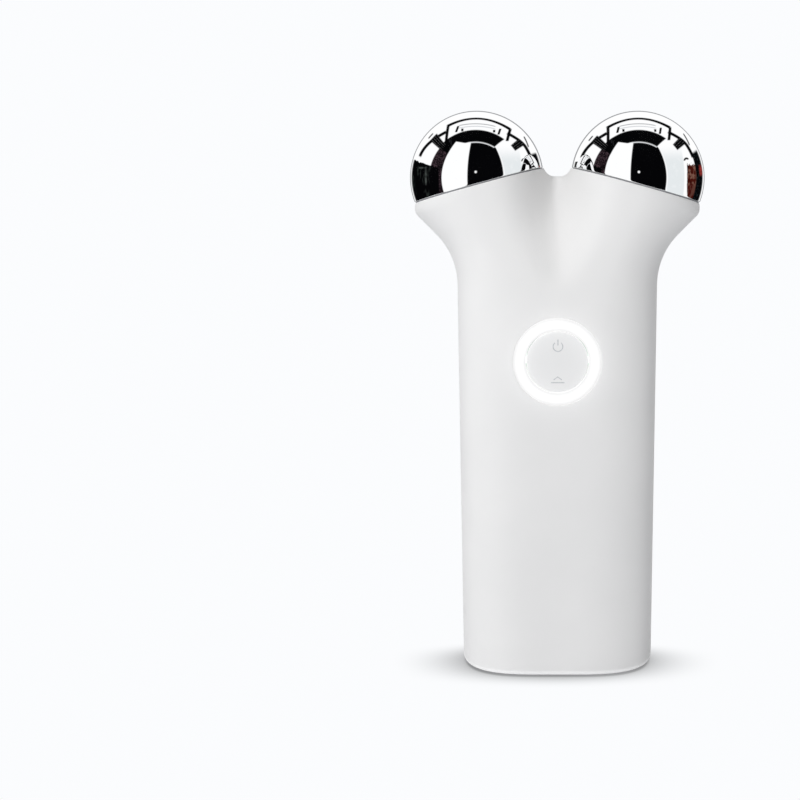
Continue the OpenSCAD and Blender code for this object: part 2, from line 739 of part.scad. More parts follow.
// ---- Flat cable between the two boards ----
flex_w = 6;
flex_t = 0.2;
flex_socket = [8, 3, 2];
flex_depth = 1;
flex_top_z = button_z - 8;
flex_low_z = 58;
flex_y = [button_y + board_depth + button_board_t + flex_depth, board_y - flex_depth];
FLEX_STEPS = 20;
flex_grip = 2;
function flex_at(t) = [mix(flex_y[0], flex_y[1], smooth(t)), mix(flex_top_z - 3, flex_low_z + 3, t)];
flex_line = concat(
    [[flex_y[0], flex_top_z - 3 + flex_grip]], [for (i = [0:FLEX_STEPS]) flex_at(i / FLEX_STEPS)],
    [[flex_y[1], flex_low_z + 3 - flex_grip]]);
function flex_side(i) =
    let(a = flex_line[max(i - 1, 0)], b = flex_line[min(i + 1, FLEX_STEPS + 2)], d = unit(b - a))
    [-d.y, d.x] * flex_t / 2;
module button_flex() {
    last = FLEX_STEPS + 2;
    color("goldenrod") translate([-flex_w / 2, 0, 0]) rotate([90, 0, 90]) linear_extrude(flex_w)
        polygon(concat([for (i = [0:last]) flex_line[i] + flex_side(i)],
            [for (i = [last:-1:0]) flex_line[i] - flex_side(i)]));
}
module flex_sockets() {
    slot = [flex_w + 0.2, 2 * flex_grip + 0.4, flex_t + 0.06];
    color(DARK) {
        translate([0, flex_y[0], flex_top_z - 1.5]) difference() {
            translate([-flex_socket.x / 2, -flex_depth + chip_gap, -1.5])
                cube([flex_socket.x, flex_socket.z, flex_socket.y]);
            translate([-slot.x / 2, -slot.z / 2, -1.5 - flex_grip - 0.2]) cube([slot.x, slot.z, slot.y]);
        }
        translate([0, flex_y[1], flex_low_z + 1.5]) difference() {
            translate([-flex_socket.x / 2, flex_depth - flex_socket.z - chip_gap, -1.5])
                cube([flex_socket.x, flex_socket.z, flex_socket.y]);
            translate([-slot.x / 2, -slot.z / 2, 1.5 - flex_grip - 0.2]) cube([slot.x, slot.z, slot.y]);
        }
    }
}

// ---- Frame and main board ----
module inner_frame() {
    color(NATURAL) difference() {
        union() {
            translate([-plate_w / 2, plate_y, cap_top + 0.1])
                cube([plate_w, plate_t, plate_top - cap_top - 0.1]);
            for (x = [-stand_x, stand_x], z = stand_zs)
                translate([x, plate_y + 0.5, z]) rotate([90, 0, 0])
                    cylinder(h = standoff_h + 0.5, r = stand_r, $fn = ROUND);
        }
        for (x = [-stand_x, stand_x], z = stand_zs)
            translate([x, plate_y + plate_t + 1, z]) rotate([90, 0, 0])
                cylinder(h = standoff_h + plate_t + 2, r = screw_r + face_gap, $fn = ROUND);
        frame_posts(screw_hole_r, plate_y - 1, plate_y + plate_t + 1);
        translate([-window_w / 2, plate_y - 1, window_z[0]])
            cube([window_w, plate_t + 2, window_z[1] - window_z[0]]);
    }
}
module frame_screws() {
    color(STEEL) for (x = [-post_x, post_x], z = post_zs)
        translate([x, plate_y - head_t, z]) rotate([-90, 0, 0]) screw(head_t + plate_t + 4);
}
module main_board() {
    color(BOARD) difference() {
        translate([-board_w / 2, board_y, board_bottom]) cube([board_w, board_t, board_top - board_bottom]);
        for (x = [-stand_x, stand_x], z = stand_zs)
            translate([x, board_y - 1, z]) rotate([-90, 0, 0])
                cylinder(h = board_t + 2, r = screw_hole_r, $fn = ROUND);
    }
}
module board_screws() {
    color(STEEL) for (x = [-stand_x, stand_x], z = stand_zs)
        translate([x, board_y - head_t, z]) rotate([-90, 0, 0]) screw(head_t + board_t + standoff_h);
}

// ---- Charging socket ----
module usb_socket() {
    color(STEEL) translate([0, usb_y - chip_gap, usb_z]) difference() {
        linear_extrude(usb_l) polygon(round_rect(usb_w, usb_t, usb_t / 2 - 0.1));
        translate([0, 0, -1]) linear_extrude(usb_l)
            polygon(round_rect(usb_w - 2 * usb_wall, usb_t - 2 * usb_wall, usb_t / 2 - usb_wall - 0.1));
    }
}
module usb_contacts() {
    color(DARK) translate([0, usb_y - chip_gap, usb_z + 0.8])
        centred([6.6, 0.7, usb_l - 1 - 0.8]);
}

// ---- Parts on the main board ----
module controller_chip() {
    color(DARK) board_front(0, board_bottom + controller_up) centred(controller_size);
}
module charger_chip() {
    color(DARK) board_front(-charger_x, board_bottom + charger_up) centred(charger_size);
}
module boost_transformer() {
    color(DARK) board_front(core_x, board_bottom + core_up) {
        centred([core_w, core_w, core_plate_t]);
        centred([core_leg_w, core_w, core_h]);
        cylinder(h = core_h, r = core_winding_r, $fn = ROUND);
        translate([0, 0, core_h - core_plate_t]) centred([core_w, core_w, core_plate_t]);
    }
}
module output_capacitors() {
    color("tan") for (i = [-1:1])
        board_front(i * capacitor_pitch, board_bottom + capacitor_up) centred(capacitor_size);
}

// ---- Battery ----
module battery_cell() {
    color(FOIL) translate([0, cell_y + cell_t / 2, cell_z]) linear_extrude(cell_l)
        polygon(round_rect(cell_w, cell_t, 2.4));
}
module cell_tape() {
    color(DARK) translate([-tape_w / 2, plate_y + plate_t, cell_z + tape_inset])
        cube([tape_w, tape_t, cell_l - 2 * tape_inset]);
}
module cell_foam() {
    ends = [cell_z + foam_inset, cell_z + cell_l - foam_inset];
    back = min([for (z = ends) edge_y(foam_w / 2, z, wall, wall)]);
    color([0.25, 0.25, 0.27]) translate([-foam_w / 2, cell_y + cell_t, ends[0]])
        cube([foam_w, back - fit_gap - cell_y - cell_t, ends[1] - ends[0]]);
}
module cell_guard_board() {
    color(BOARD) translate([-guard_w / 2, guard_y - guard_t / 2, guard_z + face_gap])
        cube([guard_w, guard_t, guard_l]);
}
module battery_socket() {
    color(NATURAL) translate([0, plug_y + chip_gap, socket_z]) difference() {
        centred([socket_w, socket_d, socket_h]);
        translate([0, 0, -0.01])
            centred([plug_body.x + 0.1, plug_body.y + 0.1, 2.6]);
    }
}
plug_z = socket_z - plug_body.z + 2.5;
module battery_plug() {
    color(WHITE) translate([0, plug_y + chip_gap, plug_z]) difference() {
        centred(plug_body);
        for (x = [-wire_x, wire_x])
            translate([x, 0, -1]) cylinder(h = 3, r = wire_r + fit_gap, $fn = ROUND);
    }
}
module battery_wire(x) {
    foot = [x * 2, guard_y - guard_t / 2 - wire_r - face_gap, guard_z + guard_l];
    top = [x, plug_y + chip_gap, plug_z];
    drop = (top.z - foot.z) / 2;
    wire(foot - [0, 0, 2.5], [foot, foot + [0, 0, drop], top - [0, 0, drop], top - [0, 0, 0.3]],
        top + [0, 0, 1.8], wire_r, [0, 1, 0.1]);
}
module red_lead() { color("red") battery_wire(wire_x); }
module black_lead() { color(DARK) battery_wire(-wire_x); }

// ---- What is drawn ----
front_shell();
rear_shell();
base_cap();
foot_pad();
left_electrode();
right_electrode();
electrode_seals();
electrode_carriers();
electrode_screws();
lead_terminals();
left_lead();
right_lead();
button_cap();
pivot_pin();
light_ring();
button_housing();
button_board();
switch_domes();
ring_leds();
button_screws();
button_flex();
flex_sockets();
inner_frame();
frame_screws();
case_screws();
main_board();
board_screws();
usb_socket();
usb_contacts();
controller_chip();
charger_chip();
boost_transformer();
output_capacitors();
battery_cell();
cell_guard_board();
cell_tape();
cell_foam();
battery_socket();
battery_plug();
red_lead();
black_lead();
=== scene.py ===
"""Looks of the handheld facial toning device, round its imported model.

Sizes are millimetres in the device's own frame, and angles are degrees. MM turns a
length into metres. The body follows one formula: a level of the body is a rounded
section, and above the grip the levels lean towards the two tilted ball seats.
"""

import json
import math
from types import SimpleNamespace

import bmesh
import bpy
import numpy as np
from mathutils import Matrix, Vector


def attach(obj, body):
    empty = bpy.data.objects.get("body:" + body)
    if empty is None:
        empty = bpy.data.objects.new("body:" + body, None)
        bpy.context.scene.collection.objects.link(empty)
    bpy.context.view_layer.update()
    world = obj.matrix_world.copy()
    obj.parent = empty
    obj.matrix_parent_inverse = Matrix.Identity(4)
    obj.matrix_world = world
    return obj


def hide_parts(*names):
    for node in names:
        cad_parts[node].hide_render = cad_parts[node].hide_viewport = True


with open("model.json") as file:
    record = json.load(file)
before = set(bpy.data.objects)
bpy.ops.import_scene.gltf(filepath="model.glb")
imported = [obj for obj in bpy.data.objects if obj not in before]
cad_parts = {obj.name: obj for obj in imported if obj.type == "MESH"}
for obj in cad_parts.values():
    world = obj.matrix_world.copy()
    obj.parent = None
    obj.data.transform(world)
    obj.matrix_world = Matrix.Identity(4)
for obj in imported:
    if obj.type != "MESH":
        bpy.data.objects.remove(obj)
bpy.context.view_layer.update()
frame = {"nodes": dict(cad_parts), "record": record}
scene = bpy.context.scene

MM = 0.001


def sin(angle):
    return np.sin(np.radians(angle))


def cos(angle):
    return np.cos(np.radians(angle))


def tan(angle):
    return np.tan(np.radians(angle))


# ---- Driving sizes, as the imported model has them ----
BALL = np.array([18.7, 1.5, 114.6])
BALL_R = 15.5
BALL_DROP = 1.7
BALL_WALL = 1.6
POST_R = 3.4
POST_HOLE_R = 1.27
POST_HOLE_TOP = 8.2
SEAL_T = 0.3
SEAL_GAP_R = 0.02
CARRIER_T = 2.0
TILT_OUT = 15.3
TILT_BACK = 7.2
SEAT_T = 2.0

GRIP_W, BASE_W = 46.5, 44.8
GRIP_D, BASE_D = 36.4, 37.2
GRIP_POWER = 2.8
GRIP_FLAT = 8.0
WALL = 2.0
EDGE_Z, EDGE_R = 0.4, 1.0

LEAN_Z = 80.0
FLARE_R, FLARE_ANGLE = 16.0, 45.0
LIP_R, LIP_H = 2.2, 1.3
VALLEY_DEPTH, VALLEY_H, VALLEY_POWER = 0.78, 20.0, 1.8
SADDLE_R, SADDLE_W, SADDLE_SHARE = 3.0, 6.0, 0.3
NOTCH_W, NOTCH_DEPTH, BEND_W = 3.2, 2.3, 15.0
SKEW_W = 5.0

BUTTON_Z = 74.7
RING_R, RING_W, RING_T, RING_LIP = 10.0, 2.75, 2.2, 1.2
FLANGE_W = 1.6
RING_FIT = 0.05
# Wall of the button's housing, with the gap round it
HOUSING_WALL_FIT = 0.65
HOUSING_FIT_R = RING_R + FLANGE_W + HOUSING_WALL_FIT
CAP_GAP, CAP_SINK, CAP_T = 0.25, 0.15, 1.8
PIVOT_DEPTH, PIVOT_R = 3.2, 0.75
LUG_X, LUG_W, LUG_R = 4.2, 2.4, 1.45
PLUNGER_R, PLUNGER_END, DOME_Z = 1.1, 4.9, 4.6

# Only the looks have these: the gap between the shells, and the rounding of sharp edges
PARTING_GAP = 0.03
EDGE_FILLET = 0.15

# ---- Derived sizes, as in the construction ----
RIM_R = math.sqrt(BALL_R**2 - BALL_DROP**2) + SEAL_GAP_R
SEAT_AXIS = np.array(
    [sin(TILT_OUT) * cos(TILT_BACK), sin(TILT_BACK), cos(TILT_OUT) * cos(TILT_BACK)]
)
SEAT = BALL - (BALL_DROP + SEAL_T) * SEAT_AXIS
RIM_X = SEAT[0] + RIM_R * cos(TILT_OUT)
RIM_Z = SEAT[2] - RIM_R * sin(TILT_OUT)
SLOPE_X = tan(TILT_OUT)
SLOPE_Y = tan(TILT_BACK) / cos(TILT_OUT)
GRIP_HW = GRIP_W / 2
FLANK_RISE = RIM_X - GRIP_HW - (FLARE_R + LIP_R) * (1 - cos(FLARE_ANGLE))
LIP_Z = RIM_Z - LIP_H
FLARE_Z2 = LIP_Z - LIP_R * sin(FLARE_ANGLE)
FLARE_Z1 = FLARE_Z2 - FLANK_RISE / tan(FLARE_ANGLE)
FLARE_Z0 = FLARE_Z1 - FLARE_R * sin(FLARE_ANGLE)
FLARE_X1 = GRIP_HW + FLARE_R * (1 - cos(FLARE_ANGLE))


def smooth(t):
    t = np.clip(t, 0, 1)
    return t * t * (3 - 2 * t)


def mix(a, b, t):
    return a + (b - a) * t


# ---- The body's formula ----
# Rounds that find the level and the place across it of a point seen from the front
FIND_ROUNDS = 8


def half_w(z):
    """Half width of a level: grip, hollow, flank and lip, from the bottom up."""
    hollow = GRIP_HW + FLARE_R - np.sqrt(np.maximum(FLARE_R**2 - (z - FLARE_Z0) ** 2, 0))
    lip = RIM_X - LIP_R + np.sqrt(np.maximum(LIP_R**2 - (LIP_Z - z) ** 2, 0))
    grip = mix(BASE_W, GRIP_W, z / FLARE_Z0) / 2
    flank = FLARE_X1 + (z - FLARE_Z1) * tan(FLARE_ANGLE)
    tops = [FLARE_Z0, FLARE_Z1, FLARE_Z2, LIP_Z]
    return np.select([z <= top for top in tops], [grip, hollow, flank, lip], RIM_X)


def lean(z):
    """How far a level has turned from the grip's section, 0, into the seats', 1."""
    return smooth((z - LEAN_Z) / (RIM_Z - LEAN_Z))


def half_d(z):
    """Half depth of a level."""
    grip = mix(BASE_D, GRIP_D, np.minimum(z / LEAN_Z, 1)) / 2
    return mix(grip, RIM_R * cos(TILT_BACK), lean(z))


def lobe_x(z):
    """Where the level's round side starts, from the middle."""
    return mix(GRIP_FLAT / 2, SEAT[0], lean(z))


def power(z):
    """Roundness of the level's side: 2 is an ellipse, more is squarer."""
    return mix(GRIP_POWER, 2, lean(z))


def valley(x, z):
    """Share of the depth that the valley between the necks takes away."""
    c = lobe_x(z)
    t = np.maximum(0, c - np.abs(x)) / c
    rise = smooth((z - RIM_Z + VALLEY_H) / VALLEY_H)
    return VALLEY_DEPTH * rise * (1 - np.cos(np.pi * t**VALLEY_POWER)) / 2


def saddle(x, z):
    """Share of the depth that the rounded top edge of the valley takes away."""
    q = np.clip((z - RIM_Z + SADDLE_R) / SADDLE_R, 0, 1)
    across = cos(90 * np.clip(x / SADDLE_W, -1, 1)) ** 2
    return SADDLE_SHARE * across * (1 - np.sqrt(1 - q * q))


def edge_y(x, z, in_x, in_y):
    """Distance of a level's edge from its parting plane, drawn in by in_x and in_y."""
    c, n = lobe_x(z), power(z)
    over = np.clip((np.abs(x) - c) / (half_w(z) - in_x - c), 0, 1)
    round_side = (half_d(z) - in_y) * (1 - over**n) ** (1 / n)
    middle = half_d(z) * (1 - valley(x, z)) * (1 - saddle(x, z)) - in_y
    return np.where(over > 0, round_side, middle)


def level_z(x, y, z):
    """Height of a point of a level, which tilts and has a notch between the balls."""
    bend = mix(BEND_W, NOTCH_W, lean(z))
    soft_abs = np.where(np.abs(x) > bend, np.abs(x), x * x / (2 * bend) + bend / 2)
    notch = NOTCH_DEPTH * (1 - np.minimum(np.abs(x) / NOTCH_W, 1) ** 3)
    rise = smooth((z - FLARE_Z1) / (RIM_Z - FLARE_Z1))
    return z + lean(z) * (SLOPE_X * (half_w(z) - soft_abs) - SLOPE_Y * y) - notch * rise


def shifted_x(x, y, z):
    """x of a point of a level, which is skewed as the seats lean back."""
    skew = tan(TILT_BACK) * sin(TILT_OUT) * y * x / np.hypot(x, SKEW_W)
    return x - lean(z) * skew


def body_point(x, y, z, drop):
    """Points of the body: x across a level, y from its parting plane, z the level."""
    moved = shifted_x(x, y, z)
    place = [moved, y + SEAT[1] * lean(z), level_z(moved, y, z) - drop]
    return np.stack(np.broadcast_arrays(*place), -1)


def front_point(x, z, in_x, in_y):
    """The point of the front at a place (x, z) seen from the front."""
    level, across = np.array(z, float), np.array(x, float)
    for _ in range(FIND_ROUNDS):
        y = -edge_y(across, level, in_x, in_y)
        found = body_point(across, y, level, 0)
        across = across + x - found[..., 0]
        level = level + z - found[..., 2]
    return body_point(across, -edge_y(across, level, in_x, in_y), level, 0)


# ---- Mesh helpers ----
def turned(radius, centre, start, end, steps):
    """Points (x, y) of an arc, with its angles in degrees."""
    angles = np.linspace(start, end, steps + 1)
    return [(centre[0] + radius * cos(a), centre[1] + radius * sin(a)) for a in angles]


def revolved(profile, steps=96):
    """Closed skin of a closed profile of (radius, height), turned about +Z."""
    profile = np.array(profile, float)
    around = np.arange(steps) * 360 / steps
    ring = np.stack([cos(around), sin(around), np.zeros(steps)], -1)
    points = profile[:, None, :1] * ring + profile[:, None, 1:] * np.array([0, 0, 1.0])
    count = len(profile)
    faces = [
        (
            i * steps + k,
            i * steps + (k + 1) % steps,
            (i + 1) % count * steps + (k + 1) % steps,
            (i + 1) % count * steps + k,
        )
        for i in range(count)
        for k in range(steps)
    ]
    return points.reshape(-1, 3), faces


def block(low, high):
    """Closed box between two corners."""
    corners = np.array([low, high], float)
    points = [
        [corners[i, 0], corners[j, 1], corners[k, 2]]
        for i in (0, 1)
        for j in (0, 1)
        for k in (0, 1)
    ]
    faces = [(0, 1, 3, 2), (4, 6, 7, 5), (0, 4, 5, 1), (2, 3, 7, 6), (0, 2, 6, 4), (1, 5, 7, 3)]
    return np.array(points), faces


def tube(inner_r, outer_r, height, steps=32):
    return revolved([(inner_r, 0), (outer_r, 0), (outer_r, height), (inner_r, height)], steps)


def rod(radius, height, steps=32):
    return revolved([(0, 0), (radius, 0), (radius, height), (0, height)], steps)


def placed(part, matrix):
    points, faces = part
    full = np.c_[points, np.ones(len(points))] @ np.array(matrix).T
    return full[:, :3], faces


def mirrored(part):
    points, faces = part
    return points * np.array([-1, 1, 1]), faces


def joined(parts):
    points, faces, start = [], [], 0
    for part_points, part_faces in parts:
        points.append(part_points)
        faces += [tuple(i + start for i in face) for face in part_faces]
        start += len(part_points)
    return np.concatenate(points), faces


# Points closer than this, in metres, are one, and edges sharper than this angle stay sharp
MERGE = 2e-6
SHARP_ANGLE = 40


def new_piece(name, part):
    """An object of a part's points and faces, cleaned and smooth-shaded."""
    points, faces = part
    mesh = bpy.data.meshes.new(name)
    mesh.from_pydata((np.asarray(points) * MM).tolist(), [], faces)
    bm = bmesh.new()
    bm.from_mesh(mesh)
    bmesh.ops.remove_doubles(bm, verts=bm.verts, dist=MERGE)
    bmesh.ops.dissolve_degenerate(bm, edges=bm.edges, dist=MERGE / 2)
    bmesh.ops.recalc_face_normals(bm, faces=bm.faces)
    bm.to_mesh(mesh)
    bm.free()
    mesh.shade_smooth()
    mesh.set_sharp_from_angle(angle=math.radians(SHARP_ANGLE))
    piece = bpy.data.objects.new(name, mesh)
    scene.collection.objects.link(piece)
    return piece


def dress(piece, material, body, slot, *nodes):
    """Gives a piece its material and body, and hides the CAD nodes that it stands for."""
    piece.data.materials.append(material)
    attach(piece, body)
    if nodes:
        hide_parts(*nodes)
    return piece


def turn(axis, angle):
    return Matrix.Rotation(math.radians(angle), 4, axis)


SEAT_FRAME = Matrix.Translation(BALL) @ turn("Y", TILT_OUT) @ turn("X", -TILT_BACK)
BUTTON_Y = float(-half_d(BUTTON_Z))


def button_frame(depth, x=0, z=0):
    """Stands on the front at the button's centre and looks into the body."""
    return Matrix.Translation((x, BUTTON_Y + depth, BUTTON_Z + z)) @ turn("X", -90)


# ---- Shells ----
END_STEPS = np.array([0, 0.15, 0.4, 0.7, 1.0])
END_SHOULDERS = np.array([0.5, 1.2])
SKIN_COLUMNS = 119
# Less than 1 crowds the columns towards the middle, where the valley is
COLUMN_CROWDING = 0.6
SEAT_ROWS = 8
# Height at which the rows start to lie closer together, below the button
CLOSE_ROWS_Z = 60


def edge_draw(distance, radius):
    """How far a rounded edge is drawn in at a distance from its end."""
    left = np.clip(radius - distance, 0, radius)
    return radius - np.sqrt(radius**2 - left**2)


def level_columns(z, in_x, in_y, fillet):
    """Places across one level and their distance from the parting plane."""
    width, depth, n, c = half_w(z) - in_x, half_d(z) - in_y, power(z), lobe_x(z)
    end_y = np.concatenate([PARTING_GAP + EDGE_FILLET * END_STEPS, END_SHOULDERS])
    over = (1 - (end_y / depth) ** n) ** (1 / n)
    end_x = c + over * (width - c) - fillet * edge_draw(end_y - PARTING_GAP, EDGE_FILLET)
    s = np.linspace(-1, 1, SKIN_COLUMNS + 2)[1:-1]
    mid_x = width * sin(90 * s * (COLUMN_CROWDING + (1 - COLUMN_CROWDING) * s * s))
    mid_y = edge_y(mid_x, z, in_x, in_y)
    across = np.concatenate([-end_x, mid_x, end_x[::-1]])
    return across, np.concatenate([end_y, mid_y, end_y[::-1]])


def skin_levels():
    """Heights of the rows, close together where the outline or the button asks for it."""
    edge = EDGE_Z + EDGE_R * (1 - cos(np.linspace(0, 90, 7)))
    lower = np.linspace(EDGE_Z + EDGE_R, CLOSE_ROWS_Z, 15)[1:]
    around_button = np.linspace(CLOSE_ROWS_Z, FLARE_Z0, 26)[1:]
    hollow = FLARE_Z0 + FLARE_R * sin(np.linspace(0, FLARE_ANGLE, 15))[1:]
    flank = np.linspace(FLARE_Z1, FLARE_Z2, 5)[1:-1]
    lip = LIP_Z - LIP_R * sin(np.linspace(FLARE_ANGLE, 0, 8))
    top = RIM_Z - (RIM_Z - LIP_Z) * cos(np.linspace(0, 90, 9))[1:]
    return np.concatenate([edge, lower, around_button, hollow, flank, lip, top])


LEVELS = skin_levels()
SEAT_DZ = SEAT_T / SEAT_AXIS[2]
# The inner skin drops by a seat's thickness over SQUEEZE_H, and the flanks are thicker
# by FLANK_EXTRA, which grows over FLANK_EXTRA_H
SQUEEZE_H, FLANK_EXTRA, FLANK_EXTRA_H = 4.4, 1.6, 8.0


def skin_grid(side, inner):
    """Points of the outer or inner skin of one shell, row by row and over the seats."""
    rows = []
    for z in LEVELS:
        if inner:
            in_x = WALL + FLANK_EXTRA * smooth((z - FLARE_Z0) / FLANK_EXTRA_H)
            in_y = WALL
            drop = SEAT_DZ * max(0, (z - RIM_Z + SQUEEZE_H) / SQUEEZE_H)
        else:
            in_x = in_y = edge_draw(z - EDGE_Z, EDGE_R) + edge_draw(RIM_Z - z, EDGE_FILLET)
            drop = 0
        across, y = level_columns(z, in_x, in_y, 0 if inner else 1)
        rows.append(body_point(across, side * y, z, drop))
    for i in range(1, SEAT_ROWS + 1):
        inward = np.maximum(y * cos(90 * i / SEAT_ROWS), PARTING_GAP)
        rows.append(body_point(across, side * inward, RIM_Z, drop))
    return np.array(rows)


def strip(loop_a, loop_b, closed):
    """Quads between two lists of point numbers."""
    count = len(loop_a)
    last = count if closed else count - 1
    return [
        (loop_a[i], loop_b[i], loop_b[(i + 1) % count], loop_a[(i + 1) % count])
        for i in range(last)
    ]


def grid_faces(numbers, hole=None):
    faces = []
    for j in range(numbers.shape[0] - 1):
        for k in range(numbers.shape[1] - 1):
            if hole and hole[0] <= j < hole[1] and hole[2] <= k < hole[3]:
                continue
            faces.append(
                (numbers[j, k], numbers[j + 1, k], numbers[j + 1, k + 1], numbers[j, k + 1])
            )
    return faces


PATCH_HALF = 13.8
PATCH_SHARES = (0.3, 0.6, 0.85, 1)
HOLE_R = RING_R + RING_FIT


def hole_window(grid):
    """Rows and columns of the square patch of the skin round the light ring's hole."""
    rows = np.where(np.abs(LEVELS - BUTTON_Z) < PATCH_HALF)[0]
    columns = np.where(np.abs(grid[rows[0], :, 0]) < PATCH_HALF)[0]
    return rows[0], rows[-1], columns[0], columns[-1]


def window_loop(table, window):
    """Entries of a table along the window's border, once round."""
    low, high, left, right = window
    return np.concatenate(
        [
            table[low, left:right],
            table[low:high, right],
            table[high, right:left:-1],
            table[high:low:-1, left],
        ]
    )


def patch_loops(border, angles, radius, inset):
    """Rings of points on the front skin, from the window's border to a round hole."""
    ring = np.stack([radius * cos(angles), BUTTON_Z + radius * sin(angles)], -1)
    loops = []
    for share in PATCH_SHARES:
        flat = mix(border[:, [0, 2]], ring, share)
        loops.append(front_point(flat[:, 0], flat[:, 1], inset, inset))
    return loops


def front_opening(outer, inner, window):
    """Rings of points from the outer skin's window through the hole to the inner one."""
    outer_border, inner_border = window_loop(outer, window), window_loop(inner, window)
    angles = np.degrees(np.arctan2(outer_border[:, 2] - BUTTON_Z, outer_border[:, 0]))
    loops = patch_loops(outer_border, angles, HOLE_R + EDGE_FILLET, 0)
    surface = loops[-1]
    for a in (30, 60, 90):
        radius = HOLE_R + EDGE_FILLET * (1 - sin(a))
        step = surface.copy()
        step[:, 0], step[:, 2] = radius * cos(angles), BUTTON_Z + radius * sin(angles)
        step[:, 1] += EDGE_FILLET * (1 - cos(a))
        loops.append(step)
    lip_y = np.full(len(angles), BUTTON_Y + RING_LIP)
    for radius in (HOLE_R, HOUSING_FIT_R):
        lip = [radius * cos(angles), lip_y, BUTTON_Z + radius * sin(angles)]
        loops.append(np.stack(lip, -1))
    inner_loops = patch_loops(inner_border, angles, HOUSING_FIT_R, WALL)
    return loops + inner_loops[::-1]


def half_shell(side):
    """Closed skin of the front (side -1) or rear (side 1) shell."""
    outer, inner = skin_grid(side, False), skin_grid(side, True)
    size = outer.shape[0] * outer.shape[1]
    numbers = np.arange(size).reshape(outer.shape[:2])
    inner_numbers = numbers + size
    points = [outer.reshape(-1, 3), inner.reshape(-1, 3)]
    window = hole_window(outer) if side < 0 else None
    faces = grid_faces(numbers, window) + grid_faces(inner_numbers, window)
    for rim in (np.s_[0], np.s_[-1], np.s_[:, 0], np.s_[:, -1]):
        faces += strip(numbers[rim], inner_numbers[rim], False)
    if window:
        loops = front_opening(outer, inner, window)
        start, count = 2 * size, len(loops[0])
        chain = [window_loop(numbers, window)]
        chain += [np.arange(count) + start + i * count for i in range(len(loops))]
        chain.append(window_loop(inner_numbers, window))
        points += loops
        for a, b in zip(chain, chain[1:]):
            faces += strip(a, b, True)
    return np.concatenate(points), [tuple(int(i) for i in face) for face in faces]


# ---- Ball electrodes ----
def ball_profile():
    """Section of a hollow ball with its flat underside, rounded edge and post."""
    inner_r = BALL_R - BALL_WALL
    corner_z = EDGE_FILLET - BALL_DROP
    corner = (math.sqrt((BALL_R - EDGE_FILLET) ** 2 - corner_z**2), corner_z)
    edge_angle = math.degrees(math.atan2(corner_z, corner[0]))
    post_bottom = CARRIER_T - BALL_DROP - SEAL_T
    post_top = math.degrees(math.acos(POST_R / inner_r))
    inner_edge = -math.degrees(math.asin(BALL_DROP / inner_r))
    return (
        turned(BALL_R, (0, 0), 90, edge_angle, 96)
        + turned(EDGE_FILLET, corner, edge_angle, -90, 5)[1:]
        + turned(inner_r, (0, 0), inner_edge, post_top, 32)
        + [(POST_R, post_bottom), (POST_HOLE_R, post_bottom)]
        + [(POST_HOLE_R, POST_HOLE_TOP), (0, POST_HOLE_TOP)]
    )


def ball():
    return placed(revolved(ball_profile(), 192), SEAT_FRAME)


# ---- Light ring and button ----
FRONT_SAG = float(half_d(BUTTON_Z) - edge_y(RING_R, BUTTON_Z, 0, 0))
CROWN_R = (RING_R**2 + FRONT_SAG**2) / (2 * FRONT_SAG)
RING_STEPS = 160


def face_sag(x):
    """How far the crowned face of the ring and button falls back at x."""
    return CROWN_R - np.sqrt(CROWN_R**2 - x**2)


def crowned(part, sink):
    """Bends a part that was made flat at depth sink, so that its face follows the body."""
    points, faces = part
    points = points.copy()
    share = np.clip(1 - (points[:, 1] - BUTTON_Y - sink) / (2 * EDGE_FILLET), 0, 1)
    points[:, 1] += face_sag(points[:, 0]) * share
    return points, faces


def rounded_front(inner_r, outer_r, top, steps=6):
    """Profile of a flat front with rounded edges, from its inner to its outer radius."""
    f = EDGE_FILLET
    inside = turned(f, (inner_r + f, top + f), 180, 270, 4) if inner_r else []
    across = [(r, top) for r in np.linspace(inner_r + f * bool(inner_r), outer_r - f, steps)]
    outside = turned(f, (outer_r - f, top + f), 270, 360, 4)
    return inside[:-1] + across[:-1] + outside


def light_ring():
    inner_r, flange_r, lip = RING_R - RING_W, RING_R + FLANGE_W, RING_LIP + SEAL_GAP_R
    profile = rounded_front(inner_r, RING_R, 0)
    profile += [(RING_R, lip), (flange_r, lip), (flange_r, RING_T), (inner_r, RING_T)]
    return crowned(placed(revolved(profile, RING_STEPS), button_frame(0)), 0)


def button_cap():
    """Disc with its two pivot lugs and two plungers."""
    radius = RING_R - RING_W - CAP_GAP
    profile = rounded_front(0, radius, CAP_SINK)
    profile += [(radius, CAP_SINK + CAP_T), (0, CAP_SINK + CAP_T)]
    disc = crowned(placed(revolved(profile, RING_STEPS), button_frame(0)), CAP_SINK)
    parts = [disc]
    middle = CAP_SINK + CAP_T / 2
    for x in (-LUG_X, LUG_X):
        low = (x - LUG_W / 2, BUTTON_Y + middle, BUTTON_Z - LUG_R)
        high = (x + LUG_W / 2, BUTTON_Y + PIVOT_DEPTH - PIVOT_R, BUTTON_Z + LUG_R)
        parts.append(block(low, high))
        eye = placed(tube(PIVOT_R, LUG_R, LUG_W), Matrix.Translation((0, 0, -LUG_W / 2)))
        parts.append(placed(eye, button_frame(PIVOT_DEPTH, x) @ turn("Y", 90)))
    for z in (-DOME_Z, DOME_Z):
        plunger = rod(PLUNGER_R, PLUNGER_END - middle)
        parts.append(placed(plunger, button_frame(middle, 0, z)))
    return joined(parts)


# ---- Printed marks on the button ----
INK_T = 0.02
STROKE = 0.2
POWER_AT, POWER_R, POWER_GAP = (0.15, 3.55), 1.1, 38
POWER_BAR = (0.25, 0.8, 1.5)
LEVEL_AT, LEVEL_W, LEVEL_DROP = (0.1, -4.6), 3.1, 0.2
CHEVRON_HALF, CHEVRON_LOW, CHEVRON_TOP = 0.95, 0.45, 1.15


